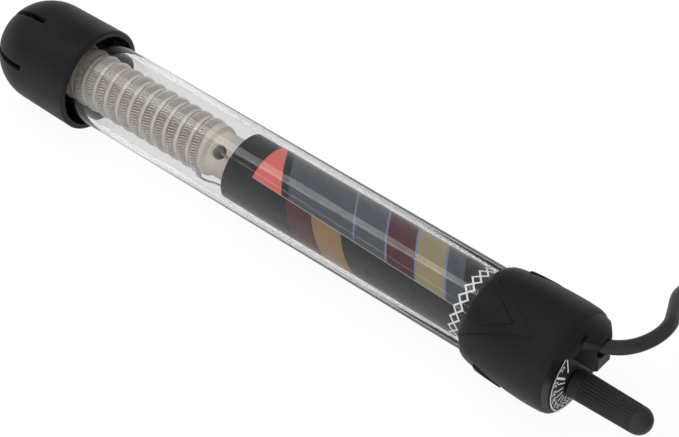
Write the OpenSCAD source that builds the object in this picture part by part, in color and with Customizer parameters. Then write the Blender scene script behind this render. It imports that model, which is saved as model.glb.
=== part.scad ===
// Submersible aquarium heater: glass tube, guard cap, sealed head with a setting knob, mains lead.
// The heater lies along X on the ground plane, guard cap at -X, knob at +X, +Z up.
// Stations are distances along its axis from the tip of the guard cap.

/* [Glass tube] */
// Outer diameter of the glass tube
tube_od = 30; // [29:0.1:31]
// Wall of the glass tube
tube_wall = 2; // [1.6:0.1:2.2]
// Length of the glass tube, from its round end to its open end
tube_len = 228; // [226:1:260]

/* [Guard cap] */
// Wall of the guard cap
cap_wall = 2; // [1.6:0.1:2.6]
// Water gap between the tube and the cap's dome, measured across the tube
cap_gap = 1.4; // [1.2:0.1:2]
// Free length between the tube's round end and the cap's dome
cap_air = 6; // [4:0.5:10]
// Growth of the cap's radius towards its mouth
cap_flare = 0.4; // [0.2:0.1:0.8]
// Length of the guard cap
cap_len = 41.4; // [38:0.2:46]
// Number of water slots, with one gripping rib between each pair
slot_count = 6; // [4:1:8]
// Width of a water slot
slot_w = 2; // [1.5:0.1:3]
// Station where the slots end
slot_end = 20.8; // [18:0.2:22]
// Angle of the first slot about the axis, from +Y towards +Z
slot_angle = 42; // [30:1:55]
// Width of a gripping rib
rib_w = 3; // [2:0.5:4]
// Length of a gripping rib
rib_len = 14; // [8:1:15]

/* [Head] */
// Wall from the glass to the head's greatest radius
head_wall = 3.8; // [3.6:0.1:4.4]
// Length of the head from its mouth to the dial
head_len = 33.8; // [33:0.2:38]
// Length of tube inside the head
tube_in_head = 24.2; // [23:0.2:26]
// Drop of the barrel's radius towards the mouth
barrel_drop = 3.4; // [3:0.1:3.6]
// Depth of the moulded triangles
mould_depth = 0.6; // [0.4:0.1:0.7]
// Length of the raised tongue that the lead leaves through
tongue_len = 8.5; // [7:0.5:11]
// Width of the tongue
tongue_w = 8.3; // [8:0.1:9]
// Height of the tongue
tongue_h = 11.8; // [11:0.1:12.4]
// Length of the hood over the dial
hood_len = 4.5; // [3:0.1:5.5]

/* [Knob] */
// Length of the knob
knob_len = 29; // [22:0.2:34]
// Diameter of the knob
knob_d = 10.1; // [9:0.1:11]
// Gap between the dial and the knob
knob_gap = 1; // [0.8:0.1:2]
// Number of grip ribs on the knob
knob_ribs = 26; // [18:1:30]
// Depth of the flutes between the grip ribs
flute_depth = 0.4; // [0.2:0.05:0.5]
// Sideways place of the knob's axis
knob_y = -0.6; // [-1.5:0.1:1]
// Distance from the glass's inner wall to the knob's axis
knob_inset = 5.4; // [5.2:0.1:5.6]
// Diameter of the spindle
spindle_d = 4; // [3.6:0.1:4.2]
// Travel of the follower nut in one turn of the spindle
thread_lead = 4; // [2:0.5:4]

/* [Heating core] */
// Pitch of the heating winding
wind_pitch = 5.4; // [5.2:0.1:5.8]
// Diameter of the heating winding's own curls
wind_d = 3.8; // [3.4:0.1:3.9]
// Number of turns of the winding round the core
wind_turns = 12; // [10:1:12]
// Gap between the core's ridges and the glass tube's bore
core_gap = 3.7; // [3.4:0.1:4]
// Depth of the winding's centre line under the ridges
wind_sink = 1.1; // [0.9:0.1:1.3]
// Depth of the core's plain neck under the ridges
neck_step = 1.3; // [0.9:0.1:1.7]
// Length of the neck behind the last ridge
neck_len = 21; // [18:0.5:23]
// Radius of the core's long bore
bore_r = 1.6; // [1.2:0.1:2]
// Radius of the cross hole in the neck
cross_r = 2.6; // [2:0.1:3]

/* [Sleeve and label] */
// Gap between the glass and the insulating sleeve
sleeve_gap = 0.6; // [0.55:0.05:0.8]
// Wall of the insulating sleeve
sleeve_wall = 0.6; // [0.4:0.1:0.6]
// Length of the core's neck inside the sleeve
sleeve_lap = 8.7; // [7.5:0.1:10]
// Gap between the sleeve and the stopper
sleeve_rear = 1.2; // [1:0.1:2]
// Thickness of the label
label_t = 0.2; // [0.1:0.05:0.3]
// Width of bare sleeve in front of the label
label_front = 11.1; // [8:0.1:14]
// Width of bare sleeve behind the label
label_rear = 5.4; // [4:0.1:8]

/* [Thermostat] */
// Thickness of the thermostat's board
board_t = 1.6; // [1.2:0.1:1.8]
// Width of the bimetal strip and of the contact arm
strip_w = 6; // [5:0.5:6]
// Thickness of the bimetal strip and of the contact arm
strip_t = 0.8; // [0.6:0.1:0.9]
// Distance from the board's front edge to the bimetal strip's block
block_inset = 6.5; // [4:0.5:12]
// Gap between the open contacts
contact_gap = 1; // [0.9:0.1:1.2]
// Radius of a contact
contact_r = 2; // [1.5:0.1:2.4]
// Thickness of the frame's side plates
frame_t = 1.2; // [1:0.1:1.2]
// Slope of the follower nut's wedge
wedge_angle = 15; // [10:1:16]
// Distance from the contact arm's pin to the wedge
wedge_arm = 16; // [15:0.5:17]
// Radius of the contact arm's pin
pin_r = 1; // [0.8:0.1:1.2]

/* [Mains lead] */
// Diameter of the mains lead
cord_d = 4.8; // [4.4:0.1:4.8]
// Radius of one conductor
wire_r = 0.6; // [0.4:0.1:0.7]
// Radius of the thin leads of the winding
lead_r = 0.4; // [0.3:0.05:0.5]
// Outer radius of the put-away coil, to the centre of the lead
coil_r = 34.4; // [34.4:0.1:40]
// Step between neighbouring turns of the coil
coil_step = 5.3; // [5.3:0.05:5.6]
// Number of turns in the coil
coil_turns = 5.625; // [3.625:1:5.625]

/* [Plug] */
// Width of the plug's body
plug_w = 35.3; // [34:0.1:36]
// Thickness of the plug's body
plug_t = 13.7; // [13:0.1:14.4]
// Length of the plug's body
plug_len = 28; // [26:0.5:34]
// Diameter of a pin
plug_pin_d = 4; // [3.9:0.05:4.1]
// Length of a pin
plug_pin_len = 19; // [18:0.2:20]
// Distance between the two pins
plug_pitch = 19; // [18:0.1:19.2]
// Length of the insulated part of a pin
plug_sleeve_len = 10; // [8:0.5:12]

/* [Hidden] */
$fn = 96;

// Clearances
fit = 0.05;       // running and push fits, on the radius
gap = 0.3;        // free gap beside a moving piece
play = 0.1;       // loose seat of an inner piece in the glass
over = 1;         // how far a cut runs past the face it opens

// Tube and cap
tube_r = tube_od / 2;
tube_in = tube_r - tube_wall;
head_r = tube_r + head_wall;
cap_r = tube_r + cap_gap + cap_wall;
mouth_r = cap_r + cap_flare;
axis_h = max(mouth_r, head_r);
tube_start = cap_wall + cap_air;
dome_s = tube_start + tube_r;
tube_end = tube_start + tube_len;
rib_start = cap_len - rib_len - 3.4;
rib_turn = 180 / slot_count;

// Head
head_start = tube_end - tube_in_head;
dial_s = head_start + head_len;
widest_s = dial_s - 8.6;
rim_r = head_r - 0.6;
flange_t = 3.2;
seat_s = tube_end + flange_t;
tongue_y = [-1, -1 + tongue_w];
tongue_z = tube_in + 1.3 - tongue_h;
tongue_end = dial_s + tongue_len;
hood_s = dial_s + hood_len;
hood_floor = tube_in - 0.4;
cord_hole = [2.4, tube_in - 2.5];
chamber = [2.2, tube_in - 3.2, 4.4];
seal_s = head_start + 14;
seal_r = 0.95;

// Knob, spindle and bush
knob_s = dial_s + knob_gap;
total_len = knob_s + knob_len;
knob_drop = tube_in - knob_inset;
knob_axis = [knob_y, -knob_drop];
spindle_r = spindle_d / 2;
bush_r = 3.4;
bush_start = tube_end - 15;
bush_end = knob_s - 0.4;
gland_r = 3;
gland_s = [bush_start + 6, bush_start + 12.4];
spindle_depth = 14;

// Core and winding
disc_t = 0.8;
disc_s = dome_s + 0.6;
core_s = disc_s + disc_t;
wind_tube = wind_d / 2;
ridge_r = tube_in - core_gap;
wind_r = ridge_r - wind_sink;
neck_r = ridge_r - neck_step;
core_sides = 24;
groove_half = wind_tube + 0.2;
leave_angle = 186;
wind_end = core_s + 4.6 + wind_turns * wind_pitch;
wind_start = wind_end - wind_turns * wind_pitch;
groove_floor = wind_r - wind_tube - 0.15;
ridge_end = wind_end + wind_pitch / 2 + 0.5;
core_end = ridge_end + neck_len;
cross_s = ridge_end + 4.8;
cross_angle = 128;
collar_t = 4;
collar_s = core_end - collar_t - 2;
crimp_len = 3;
crimp_r = 0.9;

// Sleeve and board
stopper_s = bush_start + 1;
sleeve_r = tube_in - sleeve_gap;
sleeve_in = sleeve_r - sleeve_wall;
sleeve_start = core_end - sleeve_lap;
sleeve_end = stopper_s - sleeve_rear;
label_s = [sleeve_start + label_front, sleeve_end - label_rear];
board_top = tube_in - 6;
board_z = board_top - board_t;
board_half = sqrt(pow(sleeve_in - 0.2, 2) - pow(board_top, 2));
board_s = [core_end + 1.5, sleeve_end - 1];
tab_t = 0.6;
tab = [6, 4];

// Thermostat: stations count from the pin of the contact arm
arm_z = -1;
pin_s = sleeve_end - 8.8;
foot_r = 1.2;
foot_s = pin_s - wedge_arm;
foot_z = arm_z - strip_t / 2 - 0.7;
wedge_z = foot_z - (foot_r + gap) / cos(wedge_angle);
contact_s = pin_s - 26;
arm_tip = pin_s - 32;
strip_z = arm_z + strip_t / 2 + 0.7 + contact_gap + 0.9;
strip_end = contact_s + 4;
block_len = 8;
strip_s = board_s[0] + block_inset + block_len + gap;
nut_w = tube_in - 5;
nut_len = 10;
nut_low = -knob_drop - 2.8;
frame_in = nut_w / 2 + gap;
frame_s = [pin_s - 25, pin_s + 4];
frame_low = -sqrt(pow(sleeve_in - gap, 2) - pow(frame_in + frame_t - knob_y, 2));
web_top = -4.6;
web_t = [1.5, 2];
eye_r = 2.2;
flange_w = 2.3;

// Mains lead: layers of the coil, the coil's centre and the two free stretches
cord_r = cord_d / 2;
layer_step = cord_d + 0.45;
coil_low = 3.3;
exit_at = [tongue_end - total_len / 2, axis_h + cord_hole[1]];
coil_at = [exit_at[0] + 67.7, 32];
coil_rings = 24;
// From the chamber in the head out of the tongue, down to the floor and up to the coil:
// along from the exit, y, and the share of the exit's height over the coil that is left
cord_route = [for (p = [
    [-13.3, 2, 0.996], [-8.8, 2, 0.996], [-3.9, 2.1, 1.004], [0.7, 3.6, 1.015], [4.8, 6.3, 1.031],
    [7.8, 10.1, 1.042], [9.7, 14.6, 1.05], [10.3, 19.5, 1.042], [9.6, 24.2, 1.015],
    [7.7, 28.6, 0.969], [5.7, 32.9, 0.919], [3.6, 37, 0.854], [2.2, 41.3, 0.781], [1.5, 45.6, 0.7],
    [1.7, 49.9, 0.612], [3, 54, 0.523], [5.2, 57.7, 0.427], [8.2, 60.7, 0.338], [11.8, 63.2, 0.254],
    [15.9, 65, 0.181], [20.4, 66.1, 0.115], [25, 66.6, 0.062], [29.9, 66.5, 0.027], [34.7, 66.4, 0],
    [39.7, 66.4, 0], [45.3, 66.4, 0], [51.1, 66.4, 0], [57, 66.4, 0], [62.9, 66.4, 0]])
    [exit_at[0] + p[0], p[1], coil_low + p[2] * (exit_at[1] - coil_low)]];
// From the coil's last turn over its top to the plug: along from the coil's middle, y and height
tail_route = [for (p = [
    [-27.8, 11, 8.6], [-31, 15, 9], [-34, 20, 10.3], [-36, 26.4, 12.4], [-36.4, 33.4, 14.6],
    [-34.8, 40.2, 16.2], [-30.6, 46.4, 17.2], [-25, 50.6, 17.8], [-20, 52, 17.9], [-16, 52, 17.9]])
    [coil_at[0] + p[0], p[1], p[2]]];

// Plug, lying on the coil
plug_at = [coil_at[0] - 16, 52, coil_low + layer_step + cord_r + 0.1 + plug_t / 2];
relief_len = 20;
relief_r = [3.4, 5];
plug_waist = 16;

// Places local shapes on the heater's axis: local z becomes +X, local x +Y, local y +Z
module along(s, y = 0, z = 0) {
    translate([s - total_len / 2, y, axis_h + z]) rotate([90, 0, 90]) children();
}

// A ring profile turned round the heater's axis, from [radius, station] points
module turned(points) {
    along(0) rotate_extrude() polygon(points);
}

// A rod along the axis
module rod(r, from, to, y = 0, z = 0) {
    along(from, y, z) cylinder(r = r, h = to - from);
}

// A box given by its station, y and z ranges
module slab(s, y, z) {
    along(s[0]) translate([y[0], z[0], 0]) cube([y[1] - y[0], z[1] - z[0], s[1] - s[0]]);
}

// A rod across the heater, along Y
module cross_rod(r, s, z, from, to) {
    along(s, from, z) rotate([0, 90, 0]) cylinder(r = r, h = to - from);
}

function arc(centre, r, from, to, steps) =
    [for (i = [0:steps]) let (a = from + (to - from) * i / steps)
        centre + r * [cos(a), sin(a)]];

function unit(v) = v / norm(v);

// Direction of a route at one of its points
function heading(p, i) = unit(p[min(i + 1, len(p) - 1)] - p[max(i - 1, 0)]);

// Side vector square to a heading, level unless the heading is upright
function side_of(t) = abs(t[2]) > 0.98 ? unit(cross([1, 0, 0], t)) : unit(cross([0, 0, 1], t));

function ring_at(c, t, r, n) =
    let (u = side_of(t), v = cross(t, u))
    [for (k = [0:n - 1]) c + r * (u * cos(360 * k / n) + v * sin(360 * k / n))];

// Smooth curve through a route's points, with a few steps from each to the next
function smooth(p, steps) = concat(
    [for (i = [0:len(p) - 2], k = [0:steps - 1])
        let (a = p[max(i - 1, 0)], b = p[i], c = p[i + 1], d = p[min(i + 2, len(p) - 1)], t = k / steps)
        0.5 * (2 * b + (c - a) * t + (2 * a - 5 * b + 4 * c - d) * t * t
            + (3 * b - a - 3 * c + d) * t * t * t)],
    [p[len(p) - 1]]);

function tube_faces(rings, n) = concat(
    [for (k = [1:n - 2]) [0, k, k + 1]],
    [for (i = [0:rings - 2], k = [0:n - 1]) let (a = i * n + k, b = i * n + (k + 1) % n) [a, a + n, b]],
    [for (i = [0:rings - 2], k = [0:n - 1])
        let (a = i * n + k, b = i * n + (k + 1) % n) [b, a + n, b + n]],
    [for (k = [1:n - 2]) [(rings - 1) * n, (rings - 1) * n + k + 1, (rings - 1) * n + k]]);

// One unbroken tube along points, whose end rings stand square to the first and last steps
module tube(points, r, sides) {
    rings = [for (i = [0:len(points) - 1]) each ring_at(points[i], heading(points, i), r, sides)];
    polyhedron(rings, tube_faces(len(points), sides));
}

// Length along a list of points
function length_of(p, i = 1) = i >= len(p) ? 0 : norm(p[i] - p[i - 1]) + length_of(p, i + 1);

// Least distance between points of a winding that are half a turn or more apart
function least_gap(p, apart) = min(
    [for (i = [0:len(p) - 1 - apart], j = [i + apart:len(p) - 1]) norm(p[i] - p[j])]);

// Guard cap: dome and slightly flared barrel, slots for water, ribs that grip the glass
module guard_cap() {
    in_r = cap_r - cap_wall;
    mouth_in = mouth_r - cap_wall;
    color("#1c1c1d") difference() {
        union() {
            turned(concat(
                arc([0, cap_r], cap_r, -90, 0, 16),
                [[mouth_r, cap_len - 0.5], [mouth_r - 0.5, cap_len], [mouth_in, cap_len]],
                arc([0, cap_r], in_r, 0, -90, 16)));
            for (k = [0:slot_count - 1])
                along(rib_start) rotate([0, 0, slot_angle + rib_turn + 360 * k / slot_count])
                    translate([tube_r - over, -rib_w / 2, 0])
                        cube([in_r + cap_wall / 2 - tube_r + over, rib_w, rib_len]);
        }
        rod(tube_r + fit, cap_r, cap_len + over);
        for (k = [0:slot_count - 1])
            along(-over) rotate([0, 0, slot_angle + 360 * k / slot_count])
                translate([5, -slot_w / 2, 0]) cube([cap_r, slot_w, slot_end + over]);
    }
}

// Glass tube with a round end
module glass_tube() {
    color("#dfe6e6", 0.35) turned(concat(
        arc([0, dome_s], tube_r, -90, 0, 24),
        [[tube_r, tube_end], [tube_in, tube_end]],
        arc([0, dome_s], tube_in, 0, -90, 24)));
}

// Vertices of the threaded stretch: one row of the groove's profile at each angle step
groove = [
    [-wind_pitch / 2, ridge_r], [-groove_half, ridge_r], [-0.95 * groove_half, wind_r - 0.8],
    [-0.6 * groove_half, groove_floor], [0.6 * groove_half, groove_floor],
    [0.95 * groove_half, wind_r - 0.8], [groove_half, ridge_r]
];
rows = len(groove);
steps_in_all = core_sides * wind_turns;

function on_core(a, r, s) = [r * cos(a), r * sin(a), s];
function row_angle(k) = leave_angle + 360 * k / core_sides;
function row_station(k) = wind_start + wind_pitch * k / core_sides;
function thread_at(k, i) = i < rows
    ? k * rows + i
    : k + core_sides <= steps_in_all
        ? (k + core_sides) * rows
        : (steps_in_all + 1) * rows + k + core_sides - steps_in_all - 1;

// Triangles of a convex face, all from its first point
function fan(face) = [for (i = [1:len(face) - 2]) [face[0], face[i], face[i + 1]]];

// Ceramic core: a helical groove for the winding, a plain neck, a long bore and a cross hole
module ceramic_core() {
    n = core_sides;
    last = steps_in_all;
    threads = [for (k = [0:last], g = groove) on_core(row_angle(k), g[1], row_station(k) + g[0])];
    edge = [for (k = [last - n + 1:last])
        on_core(row_angle(k), ridge_r, row_station(k) + wind_pitch / 2)];
    plain = [[ridge_r - 0.6, core_s], [ridge_r, core_s + 0.6], [ridge_r, ridge_end],
        [neck_r, ridge_end + 1.3], [neck_r, core_end]];
    rings = [for (p = plain, k = [0:n - 1]) on_core(row_angle(k), p[0], p[1])];
    base = len(threads) + len(edge);
    function at(ring, k) = base + ring * n + k % n;
    front = [for (k = [0:n - 2]) each [
        [at(1, k), thread_at(k, 0), at(1, k + 1)], [at(1, k + 1), thread_at(k, 0), thread_at(k + 1, 0)]]];
    back = [for (k = [1:n - 1]) let (a = thread_at(last - n + k, rows), b = thread_at(last - n + k + 1, rows))
        each [[a, at(2, k), b], [b, at(2, k), at(2, k + 1)]]];
    skin = [for (k = [0:last - 1], i = [0:rows - 1])
        each [[thread_at(k, i), thread_at(k, i + 1), thread_at(k + 1, i)],
            [thread_at(k + 1, i), thread_at(k, i + 1), thread_at(k + 1, i + 1)]]];
    closing = [for (f = [
        [at(1, n - 1), thread_at(n - 1, 0), thread_at(n, 0), thread_at(0, 6), thread_at(0, 1),
            thread_at(0, 0), at(1, 0)],
        [for (i = [6:-1:1]) thread_at(0, i)],
        [at(2, 1), thread_at(last - n + 1, rows), thread_at(last, 0), thread_at(last, 1),
            thread_at(last, 6), thread_at(last, rows), at(2, 0)],
        [for (i = [1:6]) thread_at(last, i)],
        [for (k = [0:n - 1]) at(0, k)],
        [for (k = [n - 1:-1:0]) at(4, k)]]) each fan(f)];
    collars = [for (r = [0, 2, 3], k = [0:n - 1])
        each [[at(r, k), at(r + 1, k), at(r, k + 1)], [at(r, k + 1), at(r + 1, k), at(r + 1, k + 1)]]];
    color("#cfc6b8") difference() {
        along(0) polyhedron(concat(threads, edge, rings),
            concat(front, back, skin, closing, collars));
        rod(bore_r, core_s - over, core_end + over);
        along(cross_s) rotate([0, 0, cross_angle]) rotate([0, 90, 0])
            cylinder(r = cross_r, h = neck_r + over);
        for (end = [[wind_start, 180], [wind_end, 0]])
            along(end[0]) rotate([0, 0, leave_angle]) translate([groove_floor, 0, 0])
                rotate([end[1], 0, 0]) translate([0, -0.2, -groove_half - 0.4])
                    cube([ridge_r, ridge_r, 2 * groove_half + 0.8]);
    }
}

function wind_at(k) = on_core(leave_angle + 360 * k / core_sides, wind_r, row_station(k));
wind_dir = unit([0, 2 * PI * wind_r, wind_pitch]);
function turn_z(v, a) = [v[0] * cos(a) - v[1] * sin(a), v[0] * sin(a) + v[1] * cos(a), v[2]];
wind_step = turn_z(wind_dir, leave_angle) * wind_d;
wind_points = concat(
    [wind_at(0) - wind_step],
    [for (k = [0:steps_in_all]) wind_at(k)],
    [wind_at(steps_in_all) + wind_step]);

// Heating winding: one tube of its curls' outer diameter, lying in the core's groove
module heating_coil() {
    n = 6;
    count = len(wind_points);
    rings = [for (i = [0:count - 1])
        let (c = wind_points[i], a = leave_angle + 360 * min(max(i - 1, 0), steps_in_all) / core_sides,
            out = [cos(a), sin(a), 0], aside = cross(turn_z(wind_dir, a), out))
        each [for (k = [0:n - 1]) c + wind_tube * (out * cos(360 * k / n) + aside * sin(360 * k / n))]];
    color("#857b74") along(0) polyhedron(rings, tube_faces(count, n));
}

// Mica disc that carries the core's front end in the glass
module core_disc() {
    color("#b9b2a0") difference() {
        rod(tube_in - play, disc_s, disc_s + disc_t);
        rod(bore_r, disc_s - over, disc_s + disc_t + over);
        along(disc_s - over) rotate([0, 0, front_angle]) translate([front_lead_r, 0, 0])
            cylinder(r = 3 * lead_r, h = disc_t + 2 * over);
    }
}

// Collar that carries the core's neck in the sleeve, with a hole for each lead
module core_collar() {
    color("#b9b2a0") difference() {
        rod(sleeve_in - play, collar_s, collar_s + collar_t);
        rod(neck_r + play, collar_s - over, collar_s + collar_t + over);
        for (p = [[cross_angle, return_r], [near_angle, near_r]])
            along(collar_s - over) rotate([0, 0, p[0]]) translate([p[1], 0, 0])
                cylinder(r = 2 * lead_r, h = collar_t + 2 * over);
    }
}

// Black insulating sleeve round the thermostat
module insulating_sleeve() {
    color("#17181a") turned([[sleeve_in, sleeve_start], [sleeve_r, sleeve_start],
        [sleeve_r, sleeve_end], [sleeve_in, sleeve_end]]);
}

// Printed label wrapped round the sleeve, inside the glass
module label_wrap() {
    in_r = sleeve_r + 0.02;
    color("#3a3c42") turned([[in_r, label_s[0]], [in_r + label_t, label_s[0]],
        [in_r + label_t, label_s[1]], [in_r, label_s[1]]]);
}

// Ends of the winding, where the crimps start, in the frame of the leaving angle
crimp_from = wind_d + 0.1;
crimp_to = crimp_from + crimp_len;
front_lead_r = norm([wind_r, crimp_to]);
front_angle = leave_angle - atan2(crimp_to, wind_r);
near_angle = 236;
near_r = sleeve_in - 1.4;
return_r = neck_r + 1.2;

// Two crimps that join the winding's ends to its leads
module coil_crimps() {
    color("#b8b8b4") for (end = [[wind_start, -1], [wind_end, 1]])
        along(end[0] + end[1] * 0.4) rotate([0, 0, leave_angle])
            translate([wind_r, end[1] * crimp_from, 0]) rotate([-90 * end[1], 0, 0])
                cylinder(r = crimp_r, h = crimp_len);
}

// Point at an angle and radius about the axis, for the leads
function polar(a, r, s) = [r * cos(a), r * sin(a), s];
crimp_angle = leave_angle + atan2(crimp_to, wind_r);

// Lead from the winding's near end to the thermostat, along the inside of the sleeve
module lead_near() {
    s = wind_end + 0.4;
    start = polar(crimp_angle, front_lead_r, s) + turn_z([0, 0.04, 0], leave_angle);
    route = [
        start, start + turn_z([0, 0.7, 0.5], leave_angle), polar(near_angle - 2, near_r + 0.9, s + 3),
        polar(near_angle, near_r, s + 7), polar(near_angle, near_r, collar_s),
        polar(near_angle, near_r, collar_s + collar_t + 1), polar(208, 9.6, core_end + 1),
        polar(168, 9.2, core_end + 3), [-7.6, tab_low - 0.5, core_end + 5.2],
        [-7, tab_low, core_end + 7.4], [-7, tab_low, core_end + 10]
    ];
    color("#9a9a96") along(0) tube(smooth(route, 3), lead_r, 6);
}

tab_low = board_z - tab_t - lead_r - 0.08;
tab_high = board_top + tab_t + 0.02;

// Lead from the winding's far end, back through the core and out of its cross hole
module lead_return() {
    a = front_angle;
    s = wind_start - 0.4;
    start = polar(a, front_lead_r, s) - turn_z([0, 0.04, 0], leave_angle);
    route = [
        start, start + turn_z([0, -0.6, -0.5], leave_angle), polar(a, front_lead_r, core_s - 0.2),
        polar(a, 10, disc_s - 1.6), polar(a, 6, disc_s - 3), [0, 0, disc_s - 2.6],
        [0, 0, disc_s + 2], [0, 0, cross_s - 2.4], polar(cross_angle, 1.6, cross_s - 0.4),
        polar(cross_angle, neck_r - 1, cross_s + 0.6), polar(cross_angle, return_r, cross_s + 3.4),
        polar(cross_angle, return_r, collar_s), polar(cross_angle, return_r, core_end - 1),
        [-5.5, tab_high + lead_r, core_end + 4], [-5.5, tab_high + lead_r, core_end + 9]
    ];
    color("#9a9a96") along(0) tube(smooth(route, 3), lead_r, 6);
}

// Phenolic board that carries the thermostat, its edges in the sleeve
module thermostat_board() {
    color("#7a5a3a") difference() {
        slab(board_s, [-board_half, board_half], [board_z, board_top]);
        for (p = rivets) along(p[0], p[1], board_z - over) rotate([-90, 0, 0])
            cylinder(r = 0.8 + fit, h = board_t + 2 * over);
    }
}

tab_places = [
    [board_s[0] + 1.5, -5.5, board_top], [board_s[0] + 1.5, -7, board_z - tab_t],
    [pin_s + 0.5, 1, board_top], [pin_s - 9.5, 4.2, board_top]
];

// Four solder tabs for the winding's leads and the lead's conductors
module terminal_tabs() {
    color("#c8a24a") for (t = tab_places)
        slab([t[0], t[0] + tab[0]], [t[1] - tab[1] / 2, t[1] + tab[1] / 2], [t[2], t[2] + tab_t]);
}

block_rivet = [strip_s - gap - 6, strip_s - gap - 2.4];
rivets = [
    [block_rivet[0], knob_y], [block_rivet[1], knob_y],
    for (s = [frame_s[0] + 5, frame_s[1] - 5], e = [-1, 1])
        [s, knob_y + e * (frame_in + frame_t + flange_w / 2)]
];

// Rivets that hold the bimetal's block and the frame to the board
module board_rivets() {
    color("#b8b8b4") for (p = rivets)
        along(p[0], p[1], 0) rotate([-90, 0, 0]) {
            low = p[1] == knob_y ? strip_z + strip_t : board_z - 1;
            translate([0, 0, low]) cylinder(r = 0.8, h = board_top - low);
            translate([0, 0, board_top]) cylinder(r = 1.5, h = 0.6);
        }
}

// Frame with two side plates and two webs that carries the spindle and the contact arm's pin
module thermostat_frame() {
    y = [knob_y - frame_in - frame_t, knob_y + frame_in];
    color("#a9a9a6") difference() {
        union() {
            for (from = y) slab(frame_s, [from, from + frame_t], [frame_low, board_z]);
            for (e = [[y[0] - flange_w, y[0]], [y[1] + frame_t, y[1] + frame_t + flange_w]])
                slab(frame_s, e, [board_z - 1, board_z]);
            slab([frame_s[0], frame_s[0] + web_t[0]], y, [frame_low, web_top]);
            slab([frame_s[1] - web_t[1], frame_s[1]], y, [frame_low, web_top]);
        }
        rod(spindle_r + fit, frame_s[0] - over, frame_s[1] + over, knob_axis[0], knob_axis[1]);
        cross_rod(pin_r + fit, pin_s, arm_z, y[0] - over, y[1] + frame_t + over);
        for (p = rivets) along(p[0], p[1], board_z - 2) rotate([-90, 0, 0])
            cylinder(r = 0.8 + fit, h = 3);
    }
}

// Block that holds the fixed end of the bimetal strip under the board
module bimetal_block() {
    s = strip_s - gap;
    color("#7a5a3a") difference() {
        slab([s - block_len, s], [knob_y - strip_w / 2, knob_y + strip_w / 2],
            [strip_z + strip_t / 2 - 1.2, board_z]);
        for (p = [0, 1]) along(rivets[p][0], knob_y, strip_z) rotate([-90, 0, 0])
            cylinder(r = 0.8 + fit, h = board_z);
    }
}

// Free length of the bimetal strip
module bimetal_strip() {
    color("#b08a6a") slab([strip_s, strip_end], [knob_y - strip_w / 2, knob_y + strip_w / 2],
        [strip_z, strip_z + strip_t]);
}

// Contact under the end of the bimetal strip
module moving_contact() {
    color("#d8d8d8") along(contact_s, knob_y, strip_z - 0.9) rotate([-90, 0, 0])
        cylinder(r = contact_r, h = 0.9);
}

// Arm on its pin, with the foot that the wedge lifts
module contact_arm() {
    y = [knob_y - strip_w / 2, knob_y + strip_w / 2];
    low = arm_z - strip_t / 2;
    color("#c8a24a") difference() {
        union() {
            slab([arm_tip, pin_s], y, [low, low + strip_t]);
            slab([foot_s - foot_r, foot_s + foot_r], y, [foot_z, low + strip_t / 2]);
            cross_rod(foot_r, foot_s, foot_z, y[0], y[1]);
            cross_rod(eye_r, pin_s, arm_z, y[0], y[1]);
        }
        cross_rod(pin_r + fit, pin_s, arm_z, y[0] - over, y[1] + over);
    }
}

// Contact on the arm
module arm_contact() {
    color("#d8d8d8") along(contact_s, knob_y, arm_z + strip_t / 2) rotate([-90, 0, 0])
        cylinder(r = contact_r, h = 0.7);
}

// Small magnet on the arm's tip that makes the contacts snap
module snap_magnet() {
    color("#4a4a4c") slab([arm_tip, arm_tip + 3.4], [knob_y - 2.5, knob_y + 2.5],
        [arm_z + strip_t / 2, arm_z + strip_t / 2 + 1]);
}

// Pin through the frame's plates that the contact arm turns on
module arm_pin() {
    reach = frame_in + frame_t + 0.6;
    color("#b8b8b4") cross_rod(pin_r, pin_s, arm_z, knob_y - reach, knob_y + reach);
}

// Nut that runs along the spindle between the frame's plates, with a wedge on top
module follower_nut() {
    half = nut_len / 2;
    rise = half * tan(wedge_angle);
    color("#c8a24a") difference() {
        along(foot_s, knob_y + nut_w / 2) rotate([0, -90, 0]) linear_extrude(nut_w)
            polygon([[-half, nut_low], [half, nut_low], [half, wedge_z - rise], [-half, wedge_z + rise]]);
        rod(spindle_r + fit, foot_s - nut_len, foot_s + nut_len, knob_axis[0], knob_axis[1]);
    }
}

thread_s = [foot_s - nut_len / 2 - 1.2, foot_s + nut_len / 2 + 1.2];
thread_count = round((thread_s[1] - thread_s[0]) * 4 / thread_lead);

// Spindle from the thermostat to the knob, with a grooved stretch and a shoulder behind the frame
module spindle() {
    r = spindle_r;
    p = (thread_s[1] - thread_s[0]) / thread_count;
    grooves = [for (k = [0:thread_count - 1]) let (s = thread_s[0] + k * p)
        each [[r, s + 0.2 * p], [r - 0.3, s + 0.5 * p], [r, s + 0.8 * p]]];
    shoulder = frame_s[1] + 0.2;
    color("#b5b6b8") translate([0, knob_axis[0], knob_axis[1]]) turned(concat(
        [[0, frame_s[0]], [r, frame_s[0]]], grooves,
        [[r, shoulder], [r + 1, shoulder], [r + 1, shoulder + 1.5], [r, shoulder + 1.5],
            [r, knob_s + spindle_depth], [0, knob_s + spindle_depth]]));
}

// Clip on the spindle in front of the frame's rear web
module spindle_clip() {
    s = frame_s[1] - web_t[1] - 0.2 - 0.8;
    color("#8c8c8c") difference() {
        rod(spindle_r + 1.2, s, s + 0.8, knob_axis[0], knob_axis[1]);
        rod(spindle_r + 0.01, s - over, s + 0.8 + over, knob_axis[0], knob_axis[1]);
    }
}

// Two rubber rings that seal the spindle in its bush
module spindle_seals() {
    half = (gland_r - spindle_r) / 2 - 0.02;
    color("#1a1a1a") for (s = [gland_s[0] + 1.6, gland_s[1] - 1.6])
        along(s, knob_axis[0], knob_axis[1]) rotate_extrude()
            translate([spindle_r + half + 0.01, 0]) circle(r = half, $fn = 24);
}

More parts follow.
